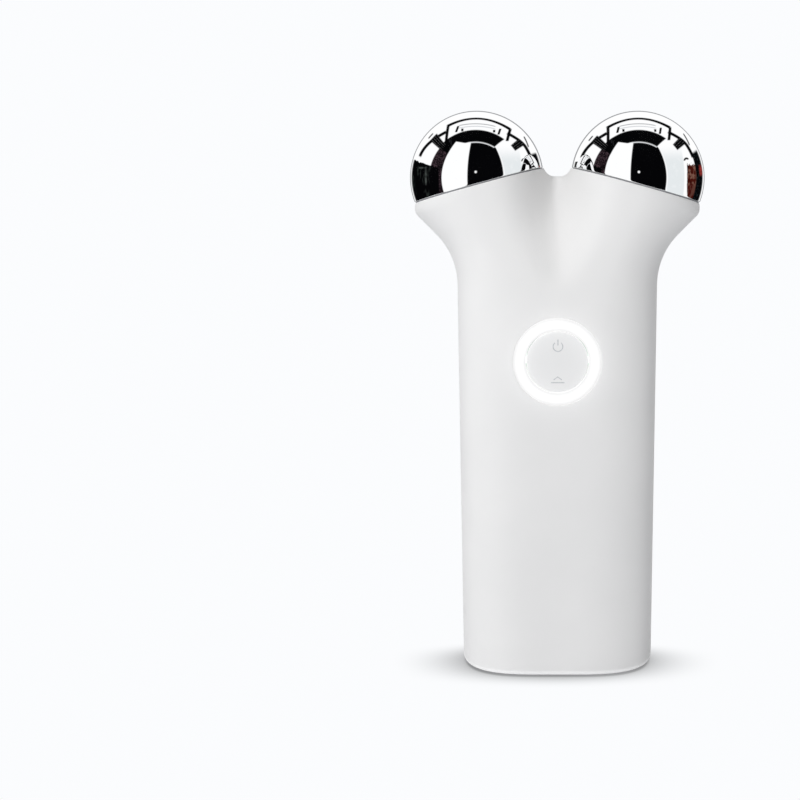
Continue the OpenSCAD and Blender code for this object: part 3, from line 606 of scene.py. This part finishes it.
def ribbon(line, closed=False):
    """A flat stroke of ink along a line of (x, z) places on the button's face."""
    line = np.array(line, float)
    before, after = np.roll(line, 1, 0), np.roll(line, -1, 0)
    if not closed:
        before[0], after[-1] = line[0], line[-1]
    along = after - before
    along /= np.linalg.norm(along, axis=1)[:, None]
    across = np.stack([-along[:, 1], along[:, 0]], -1) * STROKE / 2
    front = BUTTON_Y + CAP_SINK
    left, right = line + across, line - across
    sides = [(left, -INK_T), (right, -INK_T), (right, INK_T), (left, INK_T)]
    points = []
    for flat, depth in sides:
        y = front + face_sag(flat[:, 0]) + depth
        points.append(np.stack([flat[:, 0], y, BUTTON_Z + flat[:, 1]], -1))
    count = len(line)
    loops = np.arange(4 * count).reshape(4, count)
    faces = []
    for i in range(4):
        faces += strip(loops[i].tolist(), loops[(i + 1) % 4].tolist(), closed)
    if not closed:
        faces += [tuple(loops[:, 0].tolist()), tuple(loops[::-1, -1].tolist())]
    return np.concatenate(points), faces


def power_mark():
    x, z = POWER_AT
    arc = turned(POWER_R, (x, z), 90 + POWER_GAP, 450 - POWER_GAP, 48)
    bar = [(x, z + POWER_R * t) for t in POWER_BAR]
    return joined([ribbon(arc), ribbon(bar)])


def level_mark():
    x, z = LEVEL_AT
    low, top = z + CHEVRON_LOW, z + CHEVRON_TOP
    chevron = [(x - CHEVRON_HALF, low), (x, top), (x + CHEVRON_HALF, low)]
    bar = [(x + side * LEVEL_W / 2, z - LEVEL_DROP) for side in (-1, 0, 1)]
    return joined([ribbon(chevron), ribbon(bar)])


# ---- Materials ----
class Field:
    """A number or vector in a node tree, so that a pattern reads as arithmetic."""

    def __init__(self, tree, socket):
        self.tree, self.socket = tree, socket

    def node(self, kind, inputs, **settings):
        made = self.tree.nodes.new("ShaderNode" + kind)
        for name, value in settings.items():
            setattr(made, name, value)
        for place, value in inputs.items():
            feed(made, place, value)
        return made

    def math(self, operation, *others):
        inputs = dict(enumerate((self, *others)))
        made = self.node("Math", inputs, operation=operation)
        return Field(self.tree, made.outputs[0])

    def vector(self, operation, *others, out=0):
        inputs = dict(enumerate((self, *others)))
        made = self.node("VectorMath", inputs, operation=operation)
        return Field(self.tree, made.outputs[out])

    def dot(self, fixed):
        return self.vector("DOT_PRODUCT", tuple(fixed), out=1)

    def __add__(self, other):
        return self.math("ADD", other)

    def __sub__(self, other):
        return self.math("SUBTRACT", other)

    def __mul__(self, other):
        return self.math("MULTIPLY", other)

    def abs(self):
        return self.math("ABSOLUTE")

    def rise(self, start, end, low=0.0, high=1.0):
        """From low at start to high at end, smoothly."""
        inputs = {"Value": self, "From Min": start, "From Max": end, "To Min": low, "To Max": high}
        made = self.node("MapRange", inputs, interpolation_type="SMOOTHSTEP")
        return Field(self.tree, made.outputs[0])

    def above(self, edge, soft=0.008):
        """1 where this is more than edge, which is a number or a field."""
        return (self - edge).rise(-soft, soft)

    def below(self, edge, soft=0.008):
        return (self - edge).rise(-soft, soft, 1.0, 0.0)

    def near(self, middle, half, soft=0.008):
        """1 where this is within half of middle."""
        return (self - middle).abs().below(half, soft)

    def noise(self, scale, detail=2.0):
        inputs = {"Vector": self, "Scale": scale, "Detail": detail}
        made = self.node("TexNoise", inputs)
        return Field(self.tree, made.outputs["Fac"])

    def stretched(self, scale):
        return self.vector("MULTIPLY", tuple(scale))

    def painted(self, colour, mask):
        """This colour, covered with another where mask is 1."""
        return mixed(mask, self, colour)


def feed(node, place, value):
    """Links an input of a node to a field, or sets it to a number or colour."""
    if isinstance(value, Field):
        value.tree.links.new(value.socket, node.inputs[place])
    else:
        node.inputs[place].default_value = value


def mixed(share, first, second):
    """The first colour where share is 0 and the second where it is 1."""
    made = share.tree.nodes.new("ShaderNodeMix")
    made.data_type = "RGBA"
    feed(made, 0, share)
    for place, colour in ((6, first), (7, second)):
        feed(made, place, colour if isinstance(colour, Field) else (*colour, 1.0))
    return Field(share.tree, made.outputs[2])


def plain_colour(tree, colour):
    made = tree.nodes.new("ShaderNodeRGB")
    made.outputs[0].default_value = (*colour, 1.0)
    return Field(tree, made.outputs[0])


def distance(a, b):
    """Length of the flat vector (a, b)."""
    return (a * a + b * b).math("SQRT")


def object_places(tree):
    """Places in the device's frame, in metres."""
    return Field(tree, tree.nodes.new("ShaderNodeTexCoord").outputs["Object"])


def blank_material(name):
    """A new material, its shader and its places."""
    material = bpy.data.materials.new(name)
    material.use_nodes = True
    tree = material.node_tree
    return material, tree.nodes["Principled BSDF"], object_places(tree)


def set_bump(shader, height, strength, depth):
    """Relief of a shader, whose leaning normal is given back."""
    inputs = {"Height": height, "Strength": strength, "Distance": depth}
    relief = Field(height.tree, height.node("Bump", inputs).outputs[0])
    feed(shader, "Normal", relief)
    return relief


def set_glow(shader, strength):
    """Makes a shader give white light of its own."""
    feed(shader, "Emission Strength", strength)
    feed(shader, "Emission Color", (1, 1, 1, 1))


def surface(
    name, colour, rough, metallic=0.0, scale=400.0, spread=0.05, bump=0.1, stretch=(1, 1, 1)
):
    """A plain moulded, cast or drawn surface: mottled colour, uneven gloss, fine relief."""
    material, shader, places = blank_material(name)
    noise = places.stretched(stretch).noise(scale, 4.0)
    low = [c * (1 - spread) for c in colour]
    high = [min(1, c * (1 + spread)) for c in colour]
    feed(shader, "Base Color", mixed(noise.rise(0.3, 0.7), low, high))
    feed(shader, "Roughness", noise.rise(0.3, 0.7, rough * 0.85, min(1, rough * 1.15)))
    feed(shader, "Metallic", metallic)
    set_bump(shader, noise, bump, 0.02 * MM)
    return material


SHELL_LOW, SHELL_HIGH = (0.88, 0.873, 0.867), (0.9, 0.892, 0.885)
GRAIN_SCALE, CLOUD_SCALE = 2600.0, 45.0
BUTTON_LOW, BUTTON_HIGH = (0.892, 0.888, 0.884), (0.912, 0.908, 0.903)
# Light of the ring on the surfaces round it: how far it reaches and how strong it is
GLOW_REACH, GLOW_CAST = 2.5 * MM, 0.08
GAP_REACH, GAP_GLOW, RIM_GLOW = 0.35 * MM, 0.95, 0.08
# Light that the pale floor sends back to the lowest edge, and the heights it fades between
BOUNCE, BOUNCE_Z = 0.14, (1.0 * MM, 1.8 * MM)
# The ring lights only what lies before this y, with a soft end
LIT_Y, LIT_SOFT = -6 * MM, 1 * MM
# The crease between the necks: its half width, how far its left side leans in, and the
# heights over which the leaning grows
CREASE_W, CREASE_LEAN, CREASE_Z = 3.7 * MM, 1.2, (102 * MM, 115 * MM)
SATIN_ROUGH, SATIN_SPECULAR = (0.44, 0.54), 0.3
# The ring's light at its middle and at its edges, and the share of its width that is even
RING_GLOW, RING_EDGE_GLOW, RING_EVEN = 0.86, 0.72, 0.4


def ring_distance(places):
    """Distance of a place from the button's centre, seen from the front."""
    centre = (0, 0, -BUTTON_Z * MM)
    flat = places.vector("ADD", centre).stretched((1, 0, 1))
    return flat.vector("LENGTH", out=1)


def cast_glow(places, offset, reach, level):
    """Light of the ring on what lies next to it, which fades away from the ring."""
    in_front = places.dot((0, 1, 0)).below(LIT_Y, LIT_SOFT)
    return (offset * (-1 / reach)).math("EXPONENT") * in_front * level


def lit_gap(material):
    """The ring's light on what shows in the gap round the button."""
    tree = material.node_tree
    places = object_places(tree)
    offset = (ring_distance(places) - (RING_R - RING_W - CAP_GAP / 2) * MM).abs()
    set_glow(tree.nodes["Principled BSDF"], cast_glow(places, offset, GAP_REACH, GAP_GLOW))
    return material


def satin_white(name, low, high):
    """Satin moulded plastic with a fine spark-eroded grain."""
    material, shader, places = blank_material(name)
    cloud = places.noise(CLOUD_SCALE)
    grain = places.noise(GRAIN_SCALE, 3.0)
    feed(shader, "Base Color", mixed(cloud.rise(0.35, 0.65), low, high))
    feed(shader, "Roughness", grain.rise(0.3, 0.7, *SATIN_ROUGH))
    feed(shader, "Specular IOR Level", SATIN_SPECULAR)
    relief = set_bump(shader, grain, 0.12, 0.01 * MM)
    return material, shader, places, relief


def shell_white():
    material, shader, places, relief = satin_white("shell_white", SHELL_LOW, SHELL_HIGH)
    offset = (ring_distance(places) - RING_R * MM).math("MAXIMUM", 0.0)
    height = places.dot((0, 0, 1))
    bounce = height.rise(*BOUNCE_Z, BOUNCE, 0.0)
    set_glow(shader, cast_glow(places, offset, GLOW_REACH, GLOW_CAST) + bounce)
    # The left side of the crease between the necks leans in more than its mesh
    aside = (places.dot((1, 0, 0)) * (1 / CREASE_W)).math("MINIMUM", 0.0)
    lean_in = aside * (aside * aside * -0.5 + 0.5).math("EXPONENT") * height.rise(*CREASE_Z)
    sideways = places.node("CombineXYZ", {"X": lean_in * -CREASE_LEAN})
    sharper = relief.vector("ADD", Field(places.tree, sideways.outputs[0])).vector("NORMALIZE")
    feed(shader, "Normal", sharper)
    return material


def button_white():
    material, shader, places, _ = satin_white("button_white", BUTTON_LOW, BUTTON_HIGH)
    offset = (ring_distance(places) * -1.0 + (RING_R - RING_W) * MM).math("MAXIMUM", 0.0)
    glow = cast_glow(places, offset, GLOW_REACH, GLOW_CAST)
    set_glow(shader, glow + cast_glow(places, offset, GAP_REACH, RIM_GLOW))
    return material


def chrome():
    """Polished plating with a trace of smudges."""
    material, shader, places = blank_material("chrome")
    cloud = places.noise(120.0, 4.0)
    feed(shader, "Base Color", mixed(cloud, (0.93, 0.935, 0.945), (0.95, 0.953, 0.96)))
    feed(shader, "Roughness", cloud.rise(0.4, 0.75, 0.015, 0.045))
    feed(shader, "Metallic", 1.0)
    return material


def ring_light():
    """Milky diffuser, lit from behind and a little dimmer towards its edges."""
    material, shader, places = blank_material("light_white")
    cloud = places.noise(300.0)
    offset = (ring_distance(places) - (RING_R - RING_W / 2) * MM).abs()
    half = RING_W / 2 * MM
    glow = offset.rise(RING_EVEN * half, half, RING_GLOW, RING_EDGE_GLOW)
    set_glow(shader, glow * cloud.rise(0.2, 0.8, 0.98, 1.02))
    feed(shader, "Base Color", mixed(cloud, (0.2, 0.2, 0.2), (0.22, 0.22, 0.22)))
    feed(shader, "Roughness", 0.35)
    return material


def circuit_board():
    """Solder mask with darker gaps between its tracks, in a stepped pattern."""
    material, shader, places = blank_material("board_green")
    inputs = {"Vector": places, "Rotation": (math.radians(90), 0, 0)}
    turned_flat = places.node("Mapping", inputs)
    flat = Field(places.tree, turned_flat.outputs[0])
    inputs = {"Vector": flat, "Scale": 220.0, "Mortar Size": 0.03, "Bias": 0.0}
    bricks = places.node("TexBrick", inputs)
    tracks = Field(places.tree, bricks.outputs["Fac"])
    noise = places.noise(600.0)
    tone = mixed(noise, (0.035, 0.19, 0.09), (0.05, 0.26, 0.13))
    feed(shader, "Base Color", tone.painted((0.015, 0.09, 0.045), tracks))
    feed(shader, "Roughness", noise.rise(0.2, 0.8, 0.25, 0.4))
    set_bump(shader, tracks, 0.3, 0.03 * MM)
    return material


def foil():
    """Laminated pouch foil with shallow creases."""
    material, shader, places = blank_material("cell_foil")
    crease = places.stretched((1, 1, 0.25)).noise(350.0, 5.0)
    feed(shader, "Base Color", mixed(crease, (0.62, 0.64, 0.67), (0.74, 0.76, 0.78)))
    feed(shader, "Roughness", crease.rise(0.3, 0.7, 0.25, 0.45))
    feed(shader, "Metallic", 1.0)
    set_bump(shader, crease, 0.5, 0.1 * MM)
    return material


def foam():
    """Closed-cell foam with round pores, whose middles are painted darker as shade in the hollows.
    """
    material, shader, places = blank_material("foam_grey")
    pores = places.node("TexVoronoi", {"Vector": places, "Scale": 1200.0})
    depth = Field(places.tree, pores.outputs["Distance"])
    # Painted shade: the colour darkens towards each pore's middle, where its hollow is deepest
    tone = mixed(depth.rise(0.1, 0.6), (0.07, 0.07, 0.08), (0.16, 0.16, 0.17))
    feed(shader, "Base Color", tone)
    feed(shader, "Roughness", 0.9)
    set_bump(shader, depth, 0.6, 0.2 * MM)
    return material


def lens():
    material = surface("led_lens", (0.95, 0.9, 0.6), 0.2, scale=900, spread=0.06)
    feed(material.node_tree.nodes["Principled BSDF"], "Coat Weight", 0.5)
    return material


WIRE_COLOURS = {
    "red_insulation": (0.55, 0.04, 0.03),
    "blue_insulation": (0.05, 0.13, 0.45),
    "black_insulation": (0.03, 0.03, 0.033),
}


def make_materials():
    """A material for every slot of the record, by the slot's name."""
    nylon = surface("natural_nylon", (0.8, 0.79, 0.73), 0.5, scale=700)
    steel = surface("steel", (0.58, 0.59, 0.61), 0.28, 1.0, 900, 0.08, stretch=(1, 1, 6))
    plastic = surface("black_plastic", (0.04, 0.04, 0.045), 0.45, scale=1500, spread=0.25)
    ceramic = surface("capacitor_tan", (0.5, 0.38, 0.25), 0.5, scale=1200, spread=0.12)
    seal = surface("seal_grey", (0.3, 0.305, 0.32), 0.75, scale=1500, spread=0.15, bump=0.2)
    materials = {
        "shell_white": shell_white(),
        "button_white": button_white(),
        "chrome": chrome(),
        "seal_grey": seal,
        "light_white": ring_light(),
        "natural_nylon": lit_gap(nylon),
        "steel": lit_gap(steel),
        "brass": surface("brass", (0.76, 0.6, 0.28), 0.25, 1.0, 700, 0.08),
        "board_green": lit_gap(circuit_board()),
        "black_plastic": plastic,
        "led_lens": lens(),
        "capacitor_tan": ceramic,
        "flex_amber": surface("flex_amber", (0.62, 0.33, 0.07), 0.22, scale=300, stretch=(8, 1, 1)),
        "cell_foil": foil(),
        "foam_grey": foam(),
    }
    for name, colour in WIRE_COLOURS.items():
        materials[name] = surface(name, colour, 0.4, scale=500, spread=0.1)
    return materials


def dress_nodes(materials):
    """Gives every carried-over node the material of its slot in the record."""
    for part in frame["record"]["subparts"]:
        node = frame["nodes"][part["node"]]
        material = materials[part["material_slot"]]
        if not node.material_slots:
            node.data.materials.append(material)
        for slot in node.material_slots:
            slot.material = material


# ---- Camera ----
IMAGE_W = 800
SENSOR_MM = 36.0
CAMERA_ELEVATION = 11.0
CAMERA_FAR = 560.0
FOCAL_PX = 2376.0
AIM_Z = 66.0
AIM_PX = (557.3, 384.4)


def add_camera():
    """The photograph's view: square on, from a little above, with the device right of centre."""
    elevation, far = math.radians(CAMERA_ELEVATION), CAMERA_FAR * MM
    camera = bpy.data.cameras.new("camera")
    camera.sensor_width = SENSOR_MM
    camera.lens = FOCAL_PX * SENSOR_MM / IMAGE_W
    camera.shift_x = 0.5 - AIM_PX[0] / IMAGE_W
    camera.shift_y = AIM_PX[1] / IMAGE_W - 0.5
    camera.clip_start, camera.clip_end = 0.01, 100
    holder = bpy.data.objects.new("camera", camera)
    holder.location = (0, -far * math.cos(elevation), AIM_Z * MM + far * math.sin(elevation))
    holder.rotation_euler = (math.pi / 2 - elevation, 0, 0)
    scene.collection.objects.link(holder)
    scene.camera = holder


# ---- Floor ----
FLOOR_HALF = 15.0
FLOOR_DROP = 0.02 * MM
SHADOW_REACH = 18.0 * MM
# The shadow fades out over an ellipse: its middle, and its half sizes from side to side
# and from front to back
SHADOW_MIDDLE = (-1.4 * MM, -8.1 * MM)
SHADOW_HALF_X, SHADOW_HALF_Y = 48.5 * MM, 19.0 * MM
# The share of the ellipse that keeps the full shadow, and the darkest that it gets
SHADOW_FULL = 0.42
DARKEST = (0.28, 0.283, 0.29)
# The floor as the device sees it, and the floor and background as the camera sees them
FLOOR_WHITE = (0.91, 0.919, 0.937)
BACKGROUND = (0.965, 0.975, 0.99)


def add_floor():
    """Plain pale floor, which is as light as the background and darker where it is hidden."""
    mesh = bpy.data.meshes.new("floor")
    h = FLOOR_HALF
    corners = [(-h, -h, 0), (h, -h, 0), (h, h, 0), (-h, h, 0)]
    mesh.from_pydata(corners, [], [(0, 1, 2, 3)])
    floor = bpy.data.objects.new("floor", mesh)
    floor.location.z = -FLOOR_DROP
    scene.collection.objects.link(floor)
    floor.visible_glossy = False
    material, shader, places = blank_material("floor")
    cloud = places.noise(1.2)
    feed(shader, "Base Color", mixed(cloud, FLOOR_WHITE, [c * 0.99 for c in FLOOR_WHITE]))
    feed(shader, "Roughness", 0.9)
    feed(shader, "Specular IOR Level", 0.0)
    tree = places.tree
    inputs = {"Color": (*BACKGROUND, 1.0), "Distance": SHADOW_REACH}
    nook = places.node("AmbientOcclusion", inputs, samples=16)
    glow = places.node("Emission", {"Strength": 1.0})
    along = (places.dot((1, 0, 0)) - SHADOW_MIDDLE[0]) * (1 / SHADOW_HALF_X)
    across = (places.dot((0, 1, 0)) - SHADOW_MIDDLE[1]) * (1 / SHADOW_HALF_Y)
    strength = distance(along, across).rise(SHADOW_FULL, 1.0, 1.0, 0.0)
    shadow = Field(tree, nook.outputs["Color"]).vector("MAXIMUM", DARKEST)
    feed(glow, "Color", plain_colour(tree, BACKGROUND).painted(shadow, strength))
    blend = places.node("MixShader", {})
    seen = tree.nodes.new("ShaderNodeLightPath").outputs["Is Camera Ray"]
    tree.links.new(seen, blend.inputs[0])
    tree.links.new(shader.outputs[0], blend.inputs[1])
    tree.links.new(glow.outputs[0], blend.inputs[2])
    tree.links.new(blend.outputs[0], tree.nodes["Material Output"].inputs[0])
    mesh.materials.append(material)


# ---- Lamps ----
# Name, direction it comes from (azimuth from the front, positive to the left, and
# elevation), distance and size in metres, and its level on a surface that faces it
LAMPS = [
    ("key", 45, 40, 0.6, 0.45, 0.2),
    ("front", 0, 30, 0.45, 0.4, 0.24),
    ("side", 70, 20, 0.6, 0.45, 0.03),
    ("rim", 105, 20, 0.6, 0.45, 0.12),
]
LAMP_AIM = Vector((0, 0, 65 * MM))


def add_lamps():
    for name, azimuth, elevation, far, size, level in LAMPS:
        lamp = bpy.data.lights.new(name, "AREA")
        lamp.shape = "SQUARE"
        lamp.size = size
        # The power that gives the level on a white surface at this distance
        lamp.energy = level * (math.pi * far) ** 2
        holder = bpy.data.objects.new(name, lamp)
        a, e = math.radians(azimuth), math.radians(elevation)
        towards = Vector((-math.sin(a) * math.cos(e), -math.cos(a) * math.cos(e), math.sin(e)))
        holder.location = LAMP_AIM + towards * far
        holder.rotation_euler = towards.to_track_quat("Z", "Y").to_euler()
        holder.visible_glossy = False
        scene.collection.objects.link(holder)


# ---- What polished metal mirrors, as places on a ball that is looked at from the front ----
MIRROR_ELEVATION = 6.0
WHITE, BLACK = (1.0, 1.0, 1.0), (0.0015, 0.0015, 0.002)
# The panels' upright edges, as u at the ball's middle, and how much they bulge
WHITE_FROM, BLACK_FROM, BLACK_TO = -0.505, -0.125, 0.412
PALE_FROM, PALE_TO = 0.43, 0.68
EDGE_BULGE, PALE_BULGE = 1.45, 0.35
# Distances from the ball's middle between which the black flag lies
FLAG_FROM, FLAG_TO = 0.535, 0.71
# Distance from the ball's middle to which the dark surroundings reach
SURROUND_TO = 0.965
# Fittings of the lamp: u, v, half sizes and slant
FITTINGS = (
    (-0.293, 0.715, 0.017, 0.045, 0.3),
    (-0.214, 0.705, 0.017, 0.02, 0.0),
    (0.258, 0.695, 0.017, 0.019, 0.0),
    (0.335, 0.69, 0.017, 0.045, 0.25),
)
# Arms: side, the angles from the top between which their distance from the ball's middle
# changes, and the distance at each
ARMS = ((1, 30, 70, 0.808, 0.897), (-1, 32, 58, 0.808, 0.866))
# Blocks on the arms: angle, half angle, and the distances they lie between
BLOCKS = ((137.6, 4.6, 0.66, 0.88), (39.3, 4.3, 0.705, 0.86))
# Strokes outside the arms: angle, half angle and slant
STROKES = ((139.0, 3.0, 0.0), (37.0, 5.5, 0.0032))
BEHIND, BEHIND_FROM = (0.32, 0.325, 0.335), 0.983


def mirror_places(direction):
    """The place on the ball that mirrors a direction, and patterns that follow it.

    u is to the right and v up, both from -1 to 1. rho and phi are the same place as a
    distance from the ball's middle and an angle.
    """
    towards = (0, -cos(MIRROR_ELEVATION), sin(MIRROR_ELEVATION))
    upwards = (0, sin(MIRROR_ELEVATION), cos(MIRROR_ELEVATION))
    normal = direction.vector("ADD", towards).vector("NORMALIZE")
    u, v = normal.dot((1, 0, 0)), normal.dot(upwards)
    return SimpleNamespace(
        normal=normal,
        u=u,
        v=v,
        rho=distance(u, v),
        phi=v.math("ARCTAN2", u) * (180 / math.pi),
        edge=v * v * -EDGE_BULGE + 1.0,
        fine=normal.noise(38.0, 4.0),
        coarse=normal.noise(14.0, 3.0),
        upright=normal.stretched((5, 1, 1.2)).noise(5.0, 4.0),
    )


def pale_panel(picture, at):
    """Pale panel to the right."""
    edge = at.v * at.v * -PALE_BULGE + 1.0
    panel = at.u.above(at.edge * PALE_FROM, 0.012) * at.u.below(edge * PALE_TO, 0.012)
    panel = panel * at.v.below(0.36, 0.14)
    return picture.painted((0.785, 0.82, 0.83), panel * at.coarse.rise(0.2, 0.5, 0.75, 1.0))


def left_surroundings(picture, at):
    """Dark speckled wall to the left, and murk with a bracket beyond it."""
    u, v = at.u, at.v
    wall = u.below(at.edge * WHITE_FROM) * at.rho.below(0.695) * v.below(0.56)
    speckle = at.normal.noise(60.0, 2.0).rise(0.42, 0.62) * at.upright.rise(0.3, 0.55)
    picture = picture.painted(mixed(speckle, BLACK, (0.058, 0.036, 0.045)), wall)
    beyond = u.below(-0.55) * (v + u * 0.3 - at.coarse * 0.05).below(-0.05)
    beyond = beyond * at.rho.below(SURROUND_TO, 0.015)
    picture = picture.painted(BLACK, beyond)
    murk = mixed(at.upright.rise(0.52, 0.7), BLACK, (0.024, 0.03, 0.027))
    picture = picture.painted(murk, beyond * u.below(-0.68, 0.03))
    post = u.near(-0.745, 0.012, 0.01) * v.near(0.03, 0.12, 0.03)
    lintel = u.near(-0.8, 0.055, 0.01) * v.near(0.145, 0.008, 0.012)
    bracket = post.math("MAXIMUM", lintel) * at.coarse.rise(0.3, 0.6)
    return picture.painted((0.07, 0.08, 0.075), bracket)


def right_surroundings(picture, at):
    """Brown patches to the right, an inky edge with a red spot, and a hook."""
    u, v, rho = at.u, at.v, at.rho
    patches = at.normal.noise(12.0, 4.0).rise(0.46, 0.56)
    brown = mixed(patches, (0.06, 0.007, 0.004), (0.19, 0.09, 0.065))
    brown = brown.painted(BLACK, at.fine.rise(0.52, 0.6) * u.below(0.78, 0.05))
    brown = brown.painted((0.05, 0.004, 0.003), v.below(-0.08, 0.08) * 0.6)
    patch = u.above(at.coarse * 0.03 + 0.705) * (v - at.fine * 0.16).below(0.12)
    picture = picture.painted(brown, patch * rho.below(0.88, 0.015))
    rim = rho.above(0.86) * rho.below(SURROUND_TO, 0.012)
    rim = rim * at.phi.below(24, 1.5) * u.above(0.0)
    inky = mixed(at.fine.rise(0.55, 0.75), BLACK, (0.03, 0.045, 0.05))
    picture = picture.painted(inky, rim)
    red_spot = rho.near(0.94, 0.022, 0.015) * at.phi.near(6.5, 4.0, 2.0)
    picture = picture.painted((0.3, 0.035, 0.03), red_spot * at.fine.rise(0.3, 0.5))
    hook = distance(u - 0.712, v - 0.255).near(0.028, 0.014)
    return picture.painted(BLACK, hook * (v - u * 0.3).above(0.045))


def flag_and_panels(picture, at):
    """Black flag, white panel to the left, and black panel with a strip of light over it."""
    u, v, rho, phi = at.u, at.v, at.rho, at.phi
    flag = rho.above(FLAG_FROM) * rho.below(FLAG_TO) * (phi + rho * 28.0).above(74.1, 0.8)
    flag = flag * phi.below(140, 1.0)
    worn = mixed(at.upright.rise(0.55, 0.75), BLACK, (0.06, 0.06, 0.07))
    picture = picture.painted(BLACK, flag)
    picture = picture.painted(worn, flag * phi.above(122, 2.0))
    panel = u.above(at.edge * WHITE_FROM) * u.below(at.edge * BLACK_FROM)
    picture = picture.painted(WHITE, panel * v.below(u * -0.15 + 0.487))
    panel = u.above(at.edge * BLACK_FROM) * u.below(at.edge * BLACK_TO) * rho.below(FLAG_FROM)
    picture = picture.painted(BLACK, panel)
    gap = rho.near(0.525, 0.007, 0.005) * phi.above(59, 1.0) * phi.below(100, 2.0)
    picture = picture.painted((0.72, 0.73, 0.74), gap)
    return picture.painted((0.9, 0.9, 0.9), distance(u, v - 0.088).below(0.018, 0.007))


def lamp_frame(picture, at):
    """The lamp's frame: arch, lines, struts and fittings."""
    u, v, phi = at.u, at.v, at.phi
    arch = (v - (u * u * -0.62 + 0.878)).near(0.0, u * u * 0.04 + 0.015, 0.006)
    picture = picture.painted(BLACK, arch * phi.above(56, 1.0) * phi.below(121, 1.0))
    for height, tone in ((0.8, 0.36), (0.762, 0.6)):
        line = (v - (u * u * -0.45 + height)).near(0.0, 0.006, 0.006)
        line = line * u.abs().below(0.27, 0.02)
        picture = picture.painted((tone, tone * 1.03, tone * 1.06), line)
    left_strut = (u - (v * 0.06 - 0.48)).near(0.0, 0.022) * v.above(0.48) * v.below(0.755)
    right_strut = (u - (v * 0.19 + 0.35)).near(0.0, 0.022) * v.above(0.55) * v.below(0.735)
    picture = picture.painted(BLACK, left_strut.math("MAXIMUM", right_strut))
    for mark_u, mark_v, half_u, half_v, slant in FITTINGS:
        mark = (u - (v - mark_v) * slant).near(mark_u, half_u, 0.006)
        picture = picture.painted(BLACK, mark * v.near(mark_v, half_v, 0.006))
    return picture


def lamp_arms(picture, at):
    """Arms that run down from the frame on both sides, with blocks and strokes."""
    rho, phi, upper = at.rho, at.phi, at.v.above(0.0)
    for sign, start, end, low, high in ARMS:
        aside = (phi - 90.0) * sign
        arm = (rho - aside.rise(start, end, low, high)).near(0.0, 0.022, 0.007)
        picture = picture.painted(BLACK, arm * aside.above(34, 1.0) * aside.below(70, 1.0) * upper)
    for middle, half, low, high in BLOCKS:
        block_mask = phi.near(middle, half, 0.8) * rho.above(low) * rho.below(high)
        ribs = ((phi - middle) * 2.6).math("SINE").rise(0.8, 1.0)
        tone = mixed(ribs * at.fine.rise(0.35, 0.55), BLACK, (0.1, 0.1, 0.1))
        picture = picture.painted(tone, block_mask)
    for middle, half, slant in STROKES:
        stroke = (rho - (phi - middle) * slant).near(0.92, 0.009) * phi.near(middle, half, 0.8)
        picture = picture.painted(BLACK, stroke)
    return picture


def studio_reflections(direction):
    """White panels, black flags and a lamp on a frame, and plain grey straight behind."""
    at = mirror_places(direction)
    picture = plain_colour(direction.tree, WHITE)
    # In the order in which they cover each other
    for paint in (pale_panel, left_surroundings, right_surroundings, flag_and_panels):
        picture = paint(picture, at)
    picture = lamp_arms(lamp_frame(picture, at), at)
    return picture.painted(BEHIND, at.rho.above(BEHIND_FROM, 0.005))


# ---- World ----
AMBIENT = (0.98, 0.99, 1.0)
# Soft light from all round, and more of it from the left and the top
AMBIENT_ALL, AMBIENT_LEFT, AMBIENT_TOP = 0.15, 0.4, 0.48
REFLECTION_LEVEL = 1.06


def add_world():
    """Soft light from all round, a plain background, and the studio that metal mirrors."""
    world = bpy.data.worlds.new("studio")
    scene.world = world
    world.use_nodes = True
    tree = world.node_tree
    direction = Field(tree, tree.nodes.new("ShaderNodeTexCoord").outputs["Generated"])
    ambient = tree.nodes["Background"]
    ambient.inputs[0].default_value = (*AMBIENT, 1.0)
    level = direction.dot((-1, 0, 0)).math("MAXIMUM", 0.0) * AMBIENT_LEFT
    level = level + direction.dot((0, 0, 1)).math("MAXIMUM", 0.0) * AMBIENT_TOP
    tree.links.new((level + AMBIENT_ALL).socket, ambient.inputs[1])
    inputs = {0: studio_reflections(direction), 1: REFLECTION_LEVEL}
    mirrored_studio = direction.node("Background", inputs)
    plain = direction.node("Background", {0: (*BACKGROUND, 1.0), 1: 1.0})
    paths = tree.nodes.new("ShaderNodeLightPath")
    seen_by = (
        ("Is Glossy Ray", mirrored_studio),
        ("Is Camera Ray", plain),
        ("Is Transmission Ray", plain),
    )
    shaders = ambient
    for ray, shader in seen_by:
        blend = tree.nodes.new("ShaderNodeMixShader")
        tree.links.new(paths.outputs[ray], blend.inputs[0])
        tree.links.new(shaders.outputs[0], blend.inputs[1])
        tree.links.new(shader.outputs[0], blend.inputs[2])
        shaders = blend
    tree.links.new(shaders.outputs[0], tree.nodes["World Output"].inputs[0])


# ---- The scene ----
add_camera()
add_floor()
add_lamps()
add_world()

materials = make_materials()
dress_nodes(materials)
for node, side in (("front_shell", -1), ("rear_shell", 1)):
    shell = new_piece(node + "_skin", half_shell(side))
    dress(shell, materials["shell_white"], "body", "shell_white", node)
for side, part in (("right", ball()), ("left", mirrored(ball()))):
    electrode = new_piece(side + "_ball", part)
    dress(electrode, materials["chrome"], "body", "chrome", side + "_electrode")
ring = new_piece("glowing_ring", light_ring())
dress(ring, materials["light_white"], "body", "light_white", "light_ring")
cap = new_piece("button_face", button_cap())
dress(cap, materials["button_white"], "button", "button_white", "button_cap")
ink = surface("printed_grey", (0.6, 0.61, 0.63), 0.5, scale=3000, spread=0.12)
for name, mark in (("power_mark", power_mark()), ("level_mark", level_mark())):
    dress(new_piece(name, mark), ink, "button", "button_white")

scene.view_settings.view_transform = "Standard"
